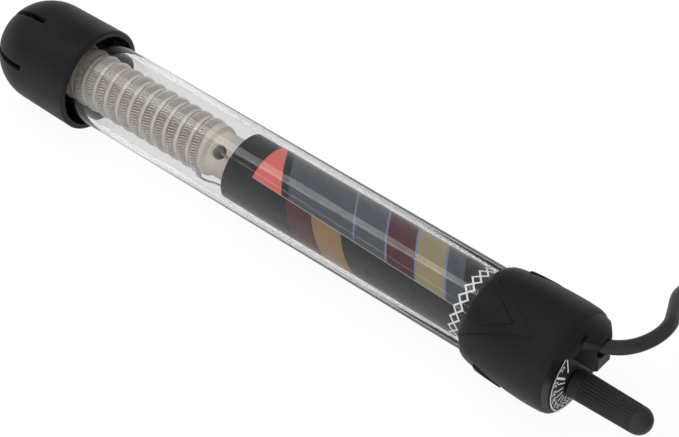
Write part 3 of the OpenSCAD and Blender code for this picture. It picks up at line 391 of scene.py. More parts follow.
# Tones are linear, and bump depths and softened edges are in millimetres
finishes = {
    "blackPlastic": {
        "effect": "mottle", "depth": 0.02, "edge": 0.6, "shader": {"Specular IOR Level": 0.3},
        "values": {"dark": (0.0075, 0.0068, 0.0072, 1), "light": (0.012, 0.011, 0.0115, 1),
                   "scale": 45.0, "grainScale": 2600.0, "smooth": 0.34, "rough": 0.46}},
    "knobPlastic": {
        "effect": "mottle", "depth": 0.02, "edge": 0.12, "shader": {"Specular IOR Level": 0.35},
        "values": {"dark": (0.016, 0.016, 0.0165, 1), "light": (0.026, 0.026, 0.027, 1),
                   "scale": 90.0, "grainScale": 3000.0, "smooth": 0.4, "rough": 0.5}},
    "leadRubber": {
        "effect": "mottle", "depth": 0.02, "shader": {"Specular IOR Level": 0.4},
        "values": {"dark": (0.018, 0.0165, 0.017, 1), "light": (0.027, 0.025, 0.0255, 1),
                   "scale": 70.0, "grainScale": 2200.0, "smooth": 0.36, "rough": 0.46}},
    "softRubber": {
        "effect": "mottle", "depth": 0.03, "shader": {},
        "values": {"dark": (0.02, 0.02, 0.02, 1), "light": (0.035, 0.035, 0.035, 1),
                   "scale": 120.0, "grainScale": 2500.0, "smooth": 0.6, "rough": 0.75}},
    "greyRubber": {
        "effect": "mottle", "depth": 0.03, "shader": {},
        "values": {"dark": (0.2, 0.2, 0.21, 1), "light": (0.28, 0.28, 0.29, 1),
                   "scale": 120.0, "grainScale": 2500.0, "smooth": 0.55, "rough": 0.7}},
    "ceramic": {
        "effect": "mottle", "depth": 0.03, "edge": 0.25, "shader": {"Specular IOR Level": 0.3},
        "values": {"dark": (0.42, 0.375, 0.33, 1), "light": (0.54, 0.49, 0.435, 1),
                   "scale": 160.0, "grainScale": 2800.0, "smooth": 0.6, "rough": 0.8}},
    "mica": {
        "effect": "mottle", "depth": 0.02, "shader": {},
        "values": {"dark": (0.42, 0.38, 0.3, 1), "light": (0.56, 0.52, 0.44, 1),
                   "scale": 200.0, "grainScale": 1200.0, "smooth": 0.3, "rough": 0.5}},
    "sleeveBlack": {
        "effect": "mottle", "depth": 0.01, "shader": {"Specular IOR Level": 0.2},
        "values": {"dark": (0.007, 0.007, 0.0075, 1), "light": (0.011, 0.011, 0.0115, 1),
                   "scale": 50.0, "grainScale": 1800.0, "smooth": 0.5, "rough": 0.6}},
    "board": {
        "effect": "drawnLines", "depth": 0.02, "shader": {},
        "values": {"dark": (0.2, 0.11, 0.06, 1), "light": (0.3, 0.18, 0.1, 1),
                   "scale": 1400.0, "smooth": 0.35, "rough": 0.5}},
    "steel": {
        "effect": "drawnLines", "depth": 0.01, "shader": {"Metallic": 1.0},
        "values": {"dark": (0.5, 0.5, 0.5, 1), "light": (0.66, 0.66, 0.65, 1),
                   "scale": 1600.0, "smooth": 0.25, "rough": 0.38}},
    "brass": {
        "effect": "drawnLines", "depth": 0.01, "shader": {"Metallic": 1.0},
        "values": {"dark": (0.66, 0.48, 0.22, 1), "light": (0.8, 0.62, 0.32, 1),
                   "scale": 1600.0, "smooth": 0.22, "rough": 0.36}},
    "silver": {
        "effect": "drawnLines", "depth": 0.005, "shader": {"Metallic": 1.0},
        "values": {"dark": (0.76, 0.76, 0.75, 1), "light": (0.88, 0.88, 0.87, 1),
                   "scale": 1800.0, "smooth": 0.16, "rough": 0.28}},
    "magnet": {
        "effect": "mottle", "depth": 0.02, "shader": {"Metallic": 0.6},
        "values": {"dark": (0.14, 0.14, 0.145, 1), "light": (0.22, 0.22, 0.23, 1),
                   "scale": 260.0, "grainScale": 2000.0, "smooth": 0.4, "rough": 0.6}},
    "heatWire": {
        "effect": "drawnLines", "depth": 0.005, "shader": {"Metallic": 0.3},
        "values": {"dark": (0.6, 0.55, 0.515, 1), "light": (0.82, 0.765, 0.725, 1),
                   "scale": 700.0, "smooth": 0.35, "rough": 0.5}},
    "tinnedWire": {
        "effect": "drawnLines", "depth": 0.005, "shader": {"Metallic": 0.9},
        "values": {"dark": (0.5, 0.49, 0.47, 1), "light": (0.64, 0.63, 0.6, 1),
                   "scale": 900.0, "smooth": 0.3, "rough": 0.42}},
    "brownWire": {
        "effect": "mottle", "depth": 0.01, "shader": {},
        "values": {"dark": (0.16, 0.07, 0.035, 1), "light": (0.22, 0.1, 0.05, 1),
                   "scale": 150.0, "grainScale": 2400.0, "smooth": 0.3, "rough": 0.42}},
    "blueWire": {
        "effect": "mottle", "depth": 0.01, "shader": {},
        "values": {"dark": (0.03, 0.09, 0.28, 1), "light": (0.045, 0.13, 0.36, 1),
                   "scale": 150.0, "grainScale": 2400.0, "smooth": 0.3, "rough": 0.42}},
    "dialPlastic": {
        "effect": "mottle", "depth": 0.015, "shader": {"Specular IOR Level": 0.3},
        "values": {"dark": (0.016, 0.016, 0.017, 1), "light": (0.024, 0.024, 0.025, 1),
                   "scale": 110.0, "grainScale": 2600.0, "smooth": 0.45, "rough": 0.6}},
    "whitePrint": {
        "effect": "mottle", "depth": 0.01, "shader": {},
        "values": {"dark": (0.6, 0.6, 0.6, 1), "light": (0.78, 0.78, 0.78, 1),
                   "scale": 400.0, "grainScale": 4000.0, "smooth": 0.5, "rough": 0.65}},
}
paints = {name: grained(name, look) for name, look in finishes.items()}


# A low index keeps what is inside in its place, and the coat gives the gloss of real glass
glassLook = {
    "shader": {"Transmission Weight": 1.0, "Roughness": 0.0, "IOR": 1.08, "Specular IOR Level": 0.5,
               "Coat Weight": 0.9, "Coat Roughness": 0.0, "Coat IOR": 1.47},
    "face": (0.86, 0.855, 0.85, 1), "rim": (0.97, 0.97, 0.97, 1), "blend": 0.12,
    "shade": (0.9, 0.91, 0.91, 1),
}


def glassMaterial(look):
    mat, tree, shader = startMaterial("clearGlass", look)
    weight = addNode(tree, "ShaderNodeLayerWeight")
    weight.inputs["Blend"].default_value = look["blend"]
    tint = mixColour(tree, weight.outputs["Facing"], look["face"], look["rim"])
    put(tree, tint, shader.inputs["Base Color"])
    path = addNode(tree, "ShaderNodeLightPath")
    clear = addNode(tree, "ShaderNodeBsdfTransparent")
    clear.inputs["Color"].default_value = look["shade"]
    mix = addNode(tree, "ShaderNodeMixShader")
    # shadow and diffuse rays go straight through, and so do mirrored rays, except inside the wall,
    # where the count of crossings is odd
    outside = calc(tree, "SUBTRACT", 1.0, calc(tree, "MODULO", path.outputs["Transmission Depth"], 2.0))
    mirrored = calc(tree, "MULTIPLY", mirroredRays(tree, path), outside)
    straight = calc(tree, "MAXIMUM", path.outputs["Is Shadow Ray"], path.outputs["Is Diffuse Ray"])
    put(tree, calc(tree, "MAXIMUM", straight, mirrored), mix.inputs[0])
    put(tree, shader.outputs[0], mix.inputs[1])
    put(tree, clear.outputs[0], mix.inputs[2])
    out = next(n for n in tree.nodes if n.type == "OUTPUT_MATERIAL")
    put(tree, mix.outputs[0], out.inputs[0])
    return mat


paints["clearGlass"] = glassMaterial(glassLook)


# Stations in millimetres and angles in degrees from the middle line. A band has its side of the seam,
# its two edges at the middle line and its tone, and leans by so many millimetres in a degree
labelLook = {
    "shader": {"Roughness": 0.58, "Specular IOR Level": 0.2},
    "middle": 120.0, "degree": 0.22, "lean": 0.14,
    "ground": (0.009, 0.009, 0.0105, 1), "grain": 900.0, "depth": 0.0005,
    "seamStart": 120.4, "seamFrom": 14.4, "seamTurn": 0.123, "seamHalf": 0.5, "seamShare": 0.6,
    "seamTone": (0.5, 0.5, 0.52, 1),
    "bands": [
        ("above", 134.0, 206.0, (0.05, 0.058, 0.073, 1)),
        ("above", 110.0, 131.0, (0.56, 0.11, 0.095, 1)),
        ("above", 161.2, 162.0, (0.12, 0.165, 0.25, 1)),
        ("above", 174.4, 175.2, (0.12, 0.165, 0.25, 1)),
        ("above", 175.2, 186.4, (0.064, 0.014, 0.021, 1)),
        ("above", 186.4, 187.2, (0.12, 0.165, 0.25, 1)),
        ("above", 187.2, 198.4, (0.23, 0.19, 0.105, 1)),
        ("above", 198.4, 199.2, (0.12, 0.165, 0.25, 1)),
        ("below", 132.5, 143.0, (0.064, 0.014, 0.021, 1)),
        ("below", 143.6, 156.0, (0.225, 0.13, 0.052, 1)),
    ],
    "grid": 1.25, "gridLine": 0.2, "gridSpan": (134.0, 174.4), "gridShare": 0.5,
    "gridTone": (0.084, 0.096, 0.118, 1),
    "chainAt": 207.4, "chainStep": 16.5, "chainHalf": (1.8, 1.75), "chainLine": 0.24,
    "chainTone": (0.72, 0.74, 0.76, 1),
}


def between(tree, value, low, high):
    past = calc(tree, "GREATER_THAN", value, low)
    return calc(tree, "MULTIPLY", past, calc(tree, "LESS_THAN", value, high))


def labelMaterial(look):
    mat, tree, shader = startMaterial("printedLabel", look)
    where = useGroup(tree, "axisPlace", middle=look["middle"])
    s, angle = where.outputs["Station"], where.outputs["Angle"]
    leaning = calc(tree, "SUBTRACT", s, calc(tree, "MULTIPLY", angle, look["lean"]))
    fromStart = calc(tree, "SUBTRACT", s, look["seamStart"])
    seamAt = calc(tree, "MULTIPLY_ADD", fromStart, look["seamTurn"], look["seamFrom"])
    below = calc(tree, "GREATER_THAN", angle, seamAt)
    above = calc(tree, "SUBTRACT", 1.0, below)
    colour = look["ground"]
    for side, low, high, tone in look["bands"]:
        mask = calc(tree, "MULTIPLY", between(tree, leaning, low, high), above if side == "above" else below)
        colour = mixColour(tree, mask, colour, tone)
    around = calc(tree, "MULTIPLY", angle, look["degree"])
    cells = [calc(tree, "FRACT", calc(tree, "DIVIDE", v, look["grid"])) for v in (s, around)]
    lines = [calc(tree, "LESS_THAN", v, look["gridLine"]) for v in cells]
    grid = calc(tree, "MULTIPLY", calc(tree, "MAXIMUM", *lines), between(tree, leaning, *look["gridSpan"]))
    gridMask = calc(tree, "MULTIPLY", grid, calc(tree, "MULTIPLY", above, look["gridShare"]))
    colour = mixColour(tree, gridMask, colour, look["gridTone"])
    # a chain of outlined diamonds round the label's far end
    wide, tall = look["chainHalf"]
    cell = calc(tree, "SUBTRACT", calc(tree, "FRACT", calc(tree, "DIVIDE", angle, look["chainStep"])), 0.5)
    across = calc(tree, "ABSOLUTE", calc(tree, "MULTIPLY", cell, look["chainStep"] * look["degree"] / wide))
    fromChain = calc(tree, "SUBTRACT", s, look["chainAt"])
    along = calc(tree, "ABSOLUTE", calc(tree, "DIVIDE", fromChain, tall))
    edge = calc(tree, "ABSOLUTE", calc(tree, "SUBTRACT", calc(tree, "ADD", across, along), 1.0))
    chainMask = calc(tree, "LESS_THAN", edge, look["chainLine"])
    colour = mixColour(tree, chainMask, colour, look["chainTone"])
    fromSeam = calc(tree, "ABSOLUTE", calc(tree, "SUBTRACT", angle, seamAt))
    seam = calc(tree, "LESS_THAN", fromSeam, look["seamHalf"])
    colour = mixColour(tree, calc(tree, "MULTIPLY", seam, look["seamShare"]), colour, look["seamTone"])
    put(tree, colour, shader.inputs["Base Color"])
    addBump(tree, shader, noise(tree, look["grain"], 2.0), look["depth"])
    return mat


paints["printedLabel"] = labelMaterial(labelLook)


nodePaints = {
    "blackPlastic": ["guard_cap", "head_body"],
    "knobPlastic": ["knob", "spindle_bush"],
    "ceramic": ["ceramic_core"],
    "mica": ["core_disc", "core_collar"],
    "sleeveBlack": ["insulating_sleeve"],
    "printedLabel": ["label_wrap"],
    "board": ["thermostat_board", "bimetal_block"],
    "steel": ["thermostat_frame", "board_rivets", "arm_pin", "spindle", "spindle_clip", "coil_crimps"],
    "brass": ["terminal_tabs", "contact_arm", "follower_nut", "bimetal_strip"],
    "silver": ["moving_contact", "arm_contact", "plug_pins"],
    "magnet": ["snap_magnet"],
    "tinnedWire": ["lead_near", "lead_return"],
    "softRubber": ["spindle_seals", "tube_seal"],
    "greyRubber": ["glass_stopper"],
    "brownWire": ["live_wire"],
    "blueWire": ["neutral_wire"],
    "dialPlastic": ["dial_plate"],
    "leadRubber": ["plug_body", "pin_sleeves", "cord_tie"],
}
for paint, names in nodePaints.items():
    for name in names:
        nodes[name].data.materials.clear()
        nodes[name].data.materials.append(paints[paint])


def addWire(name, points, radius, paint, sides=6):
    curve = bpy.data.curves.new(name, "CURVE")
    curve.dimensions = "3D"
    curve.bevel_depth = radius / 1000
    curve.bevel_resolution = sides
    curve.use_fill_caps = True
    spline = curve.splines.new("POLY")
    spline.points.add(len(points) - 1)
    for target, point in zip(spline.points, points):
        target.co = (*point, 1)
    spline.use_smooth = True
    curve.materials.append(paints[paint])
    piece = bpy.data.objects.new(name, curve)
    scene.collection.objects.link(piece)
    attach(piece, "heater")
    return piece


def shape(verts, faces):
    mesh = bpy.data.meshes.new("shape")
    mesh.from_pydata([tuple(v) for v in verts], [], faces)
    bm = bmesh.new()
    bm.from_mesh(mesh)
    bmesh.ops.recalc_face_normals(bm, faces=bm.faces)
    bm.to_mesh(mesh)
    bm.free()
    piece = bpy.data.objects.new("shape", mesh)
    scene.collection.objects.link(piece)
    return piece


def finishPiece(piece, name, paint, bend=35):
    # a piece is smooth but for the edges that bend more than so many degrees
    piece.name = piece.data.name = name
    piece.data.materials.clear()
    piece.data.materials.append(paints[paint])
    for polygon in piece.data.polygons:
        polygon.use_smooth = True
        polygon.material_index = 0
    bm = bmesh.new()
    bm.from_mesh(piece.data)
    for edge in bm.edges:
        edge.smooth = len(edge.link_faces) == 2 and edge.calc_face_angle(0) < math.radians(bend)
    bm.to_mesh(piece.data)
    bm.free()
    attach(piece, "heater")
    return piece


def tubeFaces(rings, sides):
    # faces between each ring of points and the next
    faces = []
    for i in range(rings - 1):
        for k in range(sides):
            here, after = i * sides + k, i * sides + (k + 1) % sides
            faces.append((here, after, after + sides, here + sides))
    return faces


def turned(points, start, sides=48):
    # a profile of (along, radius) points from "start", turned about a line along the heater
    verts = []
    for along, radius in points:
        for k in range(sides):
            a = 2 * math.pi * k / sides
            verts.append((Vector(start) + Vector((along, radius * math.cos(a), radius * math.sin(a)))) / 1000)
    count = len(points)
    ends = [list(range(sides)), list(range((count - 1) * sides, count * sides))]
    return verts, tubeFaces(count, sides) + ends


def softened(verts, faces, width, bend=30):
    # a shape whose sharp edges are rounded off
    piece = shape(verts, faces)
    bm = bmesh.new()
    bm.from_mesh(piece.data)
    sharp = [edge for edge in bm.edges if edge.calc_face_angle(0) > math.radians(bend)]
    bmesh.ops.bevel(bm, geom=sharp, offset=width / 1000, segments=4, profile=0.5, affect="EDGES",
                    clamp_overlap=True)
    bm.to_mesh(piece.data)
    bm.free()
    return piece


def roundCorners(corners, radius, steps=5):
    # the outline with each corner turned into an arc-like curve
    line = []
    count = len(corners)
    for i, corner in enumerate(corners):
        here = Vector(corner)
        before, after = Vector(corners[i - 1]), Vector(corners[(i + 1) % count])
        start = here + (before - here).normalized() * radius
        end = here + (after - here).normalized() * radius
        for k in range(steps + 1):
            u = k / steps
            line.append((1 - u) ** 2 * start + 2 * u * (1 - u) * here + u * u * end)
    return line


print("plug and tie")

# Millimetres from the point where the lead enters the plug. The flare gives how far along each corner is
# and how far in. A groove is given in shares of its ring, with 1 where it is sunk
plug = {
    "at": (168, 52, 17.9), "length": 28, "width": 35.3, "thick": 13.7, "waist": 16,
    "flare": ((9, 4), (15, 0.6)), "corner": 2.2, "round": 1.8,
    "relief": 20, "reliefRadii": (3.4, 5.0), "reliefLip": 0.6, "overlap": 2,
    "ringsFrom": 0.6, "rings": 5, "ringDepth": 0.5, "groove": ((0.1, 0), (0.62, 0), (0.72, 1), (0.9, 1)),
}


def addPlug(look):
    at, half, begin = Vector(look["at"]), look["width"] / 2, look["relief"]
    side = [(begin, look["waist"] / 2)] + [(begin + x, half - y) for x, y in look["flare"]]
    side.append((begin + look["length"], half))
    corners = [(x, -y) for x, y in side] + [(x, y) for x, y in reversed(side)]
    outline = roundCorners(corners, look["corner"])
    count = len(outline)
    verts = [(at + Vector((p.x, p.y, way * look["thick"] / 2))) / 1000 for way in (-1, 1) for p in outline]
    faces = tubeFaces(2, count) + [list(range(count)), list(range(count, 2 * count))]
    shell = finishPiece(softened(verts, faces, look["round"]), "plugShell", "leadRubber")
    small, large = look["reliefRadii"]
    profile = [(0, small - look["reliefLip"]), (0.5, small)]
    step = (begin - look["overlap"]) / look["rings"]
    for k in range(look["rings"]):
        for u, sunk in look["groove"]:
            x = look["ringsFrom"] + step * (k + u)
            profile.append((x, small + (large - small) * x / begin - sunk * look["ringDepth"]))
    profile += [(begin - 1, large), (begin + look["overlap"], large)]
    relief = finishPiece(shape(*turned(profile, at)), "plugRelief", "leadRubber")
    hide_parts("plug_body")
    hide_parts("plug_body")
    return [shell, relief]


# The loop's inner edges: from the coil's middle, and heights
tie = {"middle": (184, 32), "turn": -60, "out": (16.6, 37.3), "high": (0.65, 11.2), "thick": 0.6,
       "width": 4.0, "round": 1.8}


def addTie(look):
    a = math.radians(look["turn"])
    outward, along = Vector((math.cos(a), math.sin(a), 0)), Vector((-math.sin(a), math.cos(a), 0))
    rings = []
    for grow in (0, look["thick"]):
        left, right = look["out"][0] - grow, look["out"][1] + grow
        low, high = look["high"][0] - grow, look["high"][1] + grow
        corners = [(left, low), (right, low), (right, high), (left, high)]
        rings.append(roundCorners(corners, look["round"] + grow))
    count = len(rings[0])
    verts = []
    for ring, way in ((rings[0], -1), (rings[1], -1), (rings[1], 1), (rings[0], 1)):
        for p in ring:
            verts.append((Vector((*look["middle"], 0)) + outward * p.x + Vector((0, 0, p.y))
                          + along * way * look["width"] / 2) / 1000)
    faces = []
    for i in range(4):
        for k in range(count):
            after, across = (k + 1) % count, (i + 1) % 4 * count
            faces.append((i * count + k, i * count + after, across + after, across + k))
    piece = finishPiece(shape(verts, faces), "leadTie", "softRubber")
    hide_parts("cord_tie")
    return piece


onLead = addPlug(plug) + [addTie(tie), "plug_pins", "pin_sleeves"]

print("mains lead")

# The lead's route in millimetres, its coil and the tail that lies over the coil to the plug
lead = {
    "diameter": 4.8,
    "route": [
        (103, 2, 29.2), (107.5, 2, 29.2), (112.4, 2.1, 29.4), (117, 3.6, 29.7), (121.1, 6.3, 30.1),
        (124.1, 10.1, 30.4), (126, 14.6, 30.6), (126.6, 19.5, 30.4), (125.9, 24.2, 29.7), (124, 28.6, 28.5),
        (122, 32.9, 27.2), (119.9, 37, 25.5), (118.5, 41.3, 23.6), (117.8, 45.6, 21.5), (118, 49.9, 19.2),
        (119.3, 54, 16.9), (121.5, 57.7, 14.4), (124.5, 60.7, 12.1), (128.1, 63.2, 9.9), (132.2, 65, 8),
        (136.7, 66.1, 6.3), (141.3, 66.6, 4.9), (146.2, 66.5, 4), (151, 66.4, 3.3), (156, 66.4, 3.3),
        (161.6, 66.4, 3.3), (167.4, 66.4, 3.3), (173.3, 66.4, 3.3), (179.2, 66.4, 3.3)],
    "tail": [
        (156.2, 11, 8.6), (153, 15, 9), (150, 20, 10.3), (148, 26.4, 12.4), (147.6, 33.4, 14.6),
        (149.2, 40.2, 16.2), (153.4, 46.4, 17.2), (159, 50.6, 17.8), (164, 52, 17.9), (168, 52, 17.9)],
    "coilAt": (184, 32), "coilRadius": 34.4, "coilStep": 5.3, "coilTurns": 5.625, "coilPoints": 48,
    "coilLow": 3.3, "layer": 5.25, "riseTurns": 0.5,
    "exit": (0.1163, 0.0025, 0.0293), "length": 1.159,
}


def leadLine(look):
    # the lower layer winds inwards, then the upper one winds outwards on top of it
    half = look["coilTurns"] / 2
    middleX, middleY = look["coilAt"]
    count = round(look["coilTurns"] * look["coilPoints"])
    coil = []
    for i in range(count + 1):
        u = look["coilTurns"] * i / count
        radius = look["coilRadius"] - look["coilStep"] * (half - abs(u - half))
        a = math.radians(90 - 360 * u)
        rise = min(max((u - half) / look["riseTurns"] + 0.5, 0), 1)
        height = look["coilLow"] + look["layer"] * rise * rise * (3 - 2 * rise)
        coil.append(Vector((middleX + radius * math.cos(a), middleY + radius * math.sin(a), height)))
    points = smoothLine(look["route"], 4) + coil + smoothLine(look["tail"], 4)
    return [p / 1000 for p in points]


leadPoints = leadLine(lead)
mainsLead = addWire("mainsLead", leadPoints, lead["diameter"] / 2, "leadRubber")
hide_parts("supply_cord", "cord_coil", "cord_tail")

print("glass")

# The centre of the tube's round end is a station, and the tube's end is measured from there
glass = {"centre": 23.0, "radius": 15.0, "bore": 13.0, "end": 213, "rim": 0.6, "tip": 0.05, "rings": 16,
         "sides": 160}


def addGlass(look):
    r, bore, end, rim, tip = look["radius"], look["bore"], look["end"], look["rim"], look["tip"]
    quarter = [math.radians(90 * k / look["rings"]) for k in range(look["rings"] + 1)]
    outside = [(-r * math.cos(a), max(r * math.sin(a), tip)) for a in quarter]
    inside = [(-bore * math.cos(a), max(bore * math.sin(a), tip)) for a in reversed(quarter)]
    lip = [(end - rim, r), (end - 0.3 * rim, r - 0.3 * rim), (end, r - rim), (end, bore + rim),
           (end - 0.3 * rim, bore + 0.3 * rim), (end - rim, bore)]
    centre = place(look["centre"]) * 1000
    verts, faces = turned(outside + lip + inside, centre, look["sides"])
    tube = finishPiece(shape(verts, faces), "glassTube", "clearGlass")
    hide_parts("glass_tube")


addGlass(glass)

print("heating winding")

# The curled wire runs round the core, with a straight end of the curl at both ends
winding = {"radius": 8.2, "pitch": 5.4, "turns": 12, "from": 29.0, "leave": 186, "curl": 1.7, "wire": 0.19,
           "curlPitch": 0.82, "curlPoints": 14, "end": 3.6}


def windingLine(look):
    around = 2 * math.pi * look["radius"]
    turnLength = math.hypot(around, look["pitch"])
    total = look["turns"] * turnLength
    count = round((total + 2 * look["end"]) / look["curlPitch"] * look["curlPoints"])
    points = []
    for i in range(count + 1):
        u = -look["end"] + (total + 2 * look["end"]) * i / count
        inside = min(max(u, 0), total)
        a = math.radians(look["leave"]) + 2 * math.pi * inside / turnLength
        s = look["from"] + look["pitch"] * inside / turnLength
        outward = Vector((0, math.cos(a), math.sin(a)))
        forward = Vector((look["pitch"], -around * math.sin(a), around * math.cos(a))).normalized()
        middle = Vector((s, 0, 0)) + outward * look["radius"] + forward * (u - inside)
        t = 2 * math.pi * (i % look["curlPoints"]) / look["curlPoints"]
        p = middle + look["curl"] * (outward * math.cos(t) + forward.cross(outward) * math.sin(t))
        points.append(place(*p))
    return points


heatingWinding = addWire("heatingWinding", windingLine(winding), winding["wire"], "heatWire", sides=1)
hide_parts("heating_coil")

print("ceramic core")

# Lengths are stations, and the groove's flank gives radii at shares of its half width. The hole's angle
# and the place where the groove begins are in degrees about the axis
core = {
    "sides": 96, "turns": 12, "pitch": 5.4, "ridge": 9.3, "from": 29.0, "leave": 186,
    "half": 1.95, "flank": ((1, 7.6), (0.8, 6.7)), "floor": 6.15, "floorShare": 0.5,
    "edge": 0.18, "arris": 0.05,
    "front": 24.4, "ridgeEnd": 97.0, "neck": 8.0, "neckSunk": 3, "chamfer": 0.3, "end": 118.0,
    "bore": 1.6, "boreSides": 32, "borePast": 5,
    "hole": 2.5, "holeRim": 3.3, "holeAt": 101.8, "holeAngle": 128, "holeDeep": 11, "holeSink": 0.75,
    "holeSides": 40, "ledgeReach": 12, "ledgeHalf": 2.5, "overlap": 0.2, "clear": 0.6,
}


def coreMesh(look):
    n, pitch, ridge, half = look["sides"], look["pitch"], look["ridge"], look["half"]
    last = n * look["turns"]
    edge, arris = look["edge"], look["arris"]
    side = [(half + edge, ridge), (half + arris, ridge - arris), (half, ridge - edge)]
    side += [(share * half, radius) for share, radius in look["flank"]]
    side.append((look["floorShare"] * half, look["floor"]))
    profile = [(-pitch / 2, ridge)] + [(-x, radius) for x, radius in side] + side[::-1]
    rows = len(profile)

    def angle(k):
        return look["leave"] + 360 * k / n

    def station(k):
        return look["from"] + pitch * k / n

    verts = [polar(station(k) + x, angle(k), r) for k in range(last + 1) for x, r in profile]
    verts += [polar(station(k) + pitch / 2, angle(k), ridge) for k in range(last - n + 1, last + 1)]
    base = len(verts)
    plain = [(ridge - 0.5, look["front"]), (ridge, look["front"] + 0.5), (ridge, look["ridgeEnd"] - 0.4),
             (ridge - 0.12, look["ridgeEnd"] - 0.12), (ridge - 0.4, look["ridgeEnd"]),
             (look["neck"], look["ridgeEnd"] + 0.9)]
    verts += [polar(s, angle(k), r) for r, s in plain for k in range(n)]

    def thread(k, i):
        if i < rows:
            return k * rows + i
        return (k + n) * rows if k + n <= last else (last + 1) * rows + k + n - last - 1

    def ring(r, k):
        return base + r * n + k % n

    faces = [(thread(k, i), thread(k, i + 1), thread(k + 1, i + 1), thread(k + 1, i))
             for k in range(last) for i in range(rows)]
    faces += [(ring(1, k), thread(k, 0), thread(k + 1, 0), ring(1, k + 1)) for k in range(n - 1)]
    faces += [(thread(last - n + k, rows), ring(2, k), ring(2, k + 1), thread(last - n + k + 1, rows))
              for k in range(1, n)]
    faces += [(ring(r, k), ring(r + 1, k), ring(r + 1, k + 1), ring(r, k + 1))
              for r in (0, 2, 3, 4) for k in range(n)]
    faces.append([ring(1, n - 1), thread(n - 1, 0), thread(n, 0)]
                 + [thread(0, i) for i in range(rows - 1, -1, -1)] + [ring(1, 0)])
    faces.append([ring(2, 1), thread(last - n + 1, rows)] + [thread(last, i) for i in range(rows)]
                 + [thread(last, rows), ring(2, 0)])
    faces.append([ring(0, k) for k in range(n)])
    faces.append([ring(5, k) for k in range(n - 1, -1, -1)])
    return verts, faces


def cutAway(piece, cutter):
    # cuts one shape out of a piece, and clears the cutter away
    cut = piece.modifiers.new("cut", "BOOLEAN")
    cut.operation, cut.object, cut.solver = "DIFFERENCE", cutter, "EXACT"
    settled = piece.evaluated_get(bpy.context.evaluated_depsgraph_get())
    mesh = bpy.data.meshes.new_from_object(settled)
    piece.modifiers.clear()
    piece.data = mesh
    bpy.data.objects.remove(cutter)


def addLedges(ridged, look):
    # flats under the winding's straight ends
    a = math.radians(look["leave"])
    reach, half = look["ledgeReach"], look["ledgeHalf"]
    faces = [(0, 1, 3, 2), (4, 6, 7, 5), (0, 4, 5, 1), (2, 3, 7, 6), (0, 2, 6, 4), (1, 5, 7, 3)]
    for s, way in ((look["from"], -1), (look["from"] + look["pitch"] * look["turns"], 1)):
        verts = []
        for x in (look["floor"], reach):
            for y in (way * -look["overlap"], way * reach):
                for z in (-half, half):
                    verts.append(place(s + z, x * math.cos(a) - y * math.sin(a),
                                       x * math.sin(a) + y * math.cos(a)))
        cutAway(ridged, shape(verts, faces))


def holeCutter(look):
    # the neck's cross hole, wider at its mouth
    r, sides = look["neck"], look["holeSides"]
    a = math.radians(look["holeAngle"])
    outward = Vector((0, math.cos(a), math.sin(a)))
    side = outward.cross(Vector((1, 0, 0)))
    middle = Vector((look["holeAt"], 0, 0))
    rings = [(-look["holeDeep"], look["hole"]), (r - look["holeSink"], look["hole"]),
             (r + look["clear"], look["holeRim"] + look["clear"])]
    verts = []
    for depth, radius in rings:
        for k in range(sides):
            t = 2 * math.pi * k / sides
            point = middle + outward * depth + radius * (math.cos(t) * Vector((1, 0, 0)) + math.sin(t) * side)
            verts.append(place(*point))
    ends = [list(range(sides)), list(range(3 * sides - 1, 2 * sides - 1, -1))]
    return shape(verts, tubeFaces(3, sides) + ends)


def addCore(look):
    ridged = shape(*coreMesh(look))
    addLedges(ridged, look)
    ridged = finishPiece(ridged, "coreRidges", "ceramic")
    r, bore, chamfer, past = look["neck"], look["bore"], look["chamfer"], look["borePast"]
    begin = look["ridgeEnd"] - look["neckSunk"]
    length = look["end"] - begin
    start = place(begin) * 1000
    neck = shape(*turned([(0, r), (length - chamfer, r), (length, r - chamfer)], start, look["sides"]))
    cutAway(neck, shape(*turned([(-past, bore), (length + past, bore)], start, look["boreSides"])))
    cutAway(neck, holeCutter(look))
    neck = finishPiece(neck, "coreNeck", "ceramic")
    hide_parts("ceramic_core")
    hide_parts("ceramic_core")


addCore(core)

print("leads inside the glass")

# Places are station, angle and radius
returnWire = {
    "thick": 0.36,
    "route": [
        (28.6, 145.9, 10.7), (28.1, 142.8, 10.3), (24.2, 145.9, 10.7), (22, 145.9, 10), (20.6, 145.9, 6),
        (21, 0, 0), (25.6, 0, 0), (45, 0, 0), (70, 0, 0), (90, 0, 0), (96, 0, 0), (99.4, 0, 0),
        (101.4, 128, 1.6), (102.4, 128, 7), (105.2, 128, 9.2), (112, 128, 9.2), (117, 128, 9.2),
        (122, 124.4, 9.7), (127, 124.4, 9.7)],
}


def addReturnWire(look):
    points = smoothLine([polar(*p) for p in look["route"]], 6)
    wire = addWire("returnWire", points, look["thick"], "tinnedWire")
    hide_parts("lead_return")


addReturnWire(returnWire)

print("dial")

# Places are across and up from the heater's axis, seen from the knob's side. Angles are about the knob
dial = {
    "face": 245.92, "middle": (0.8, -5.3), "reach": 13.4, "edge": 17.2, "knob": (-0.6, -7.6),
    "apex": (-5.3, 7.9), "line": 0.5, "print": 0.05, "from": 120, "to": 386, "step": 4,
    "blade": ((-5.35, 7.7), (-3.9, -1.0)),
    "pointer": ((-10.4, 2.2), (-5.4, -2.6)), "pointerWidths": (0.95, 0.8),
    "values": ["34", "32", "30", "28", "26", "24", "22", "20", "18"],
    "first": 121, "second": 146, "apart": 18,
    "digit": 2.3, "digitThick": 0.02, "digitLift": 0.03, "inset": 1.75,
    "tick": 0.5, "tickFrom": 5.6, "tickShort": 2.9, "tickLeast": 1,
}


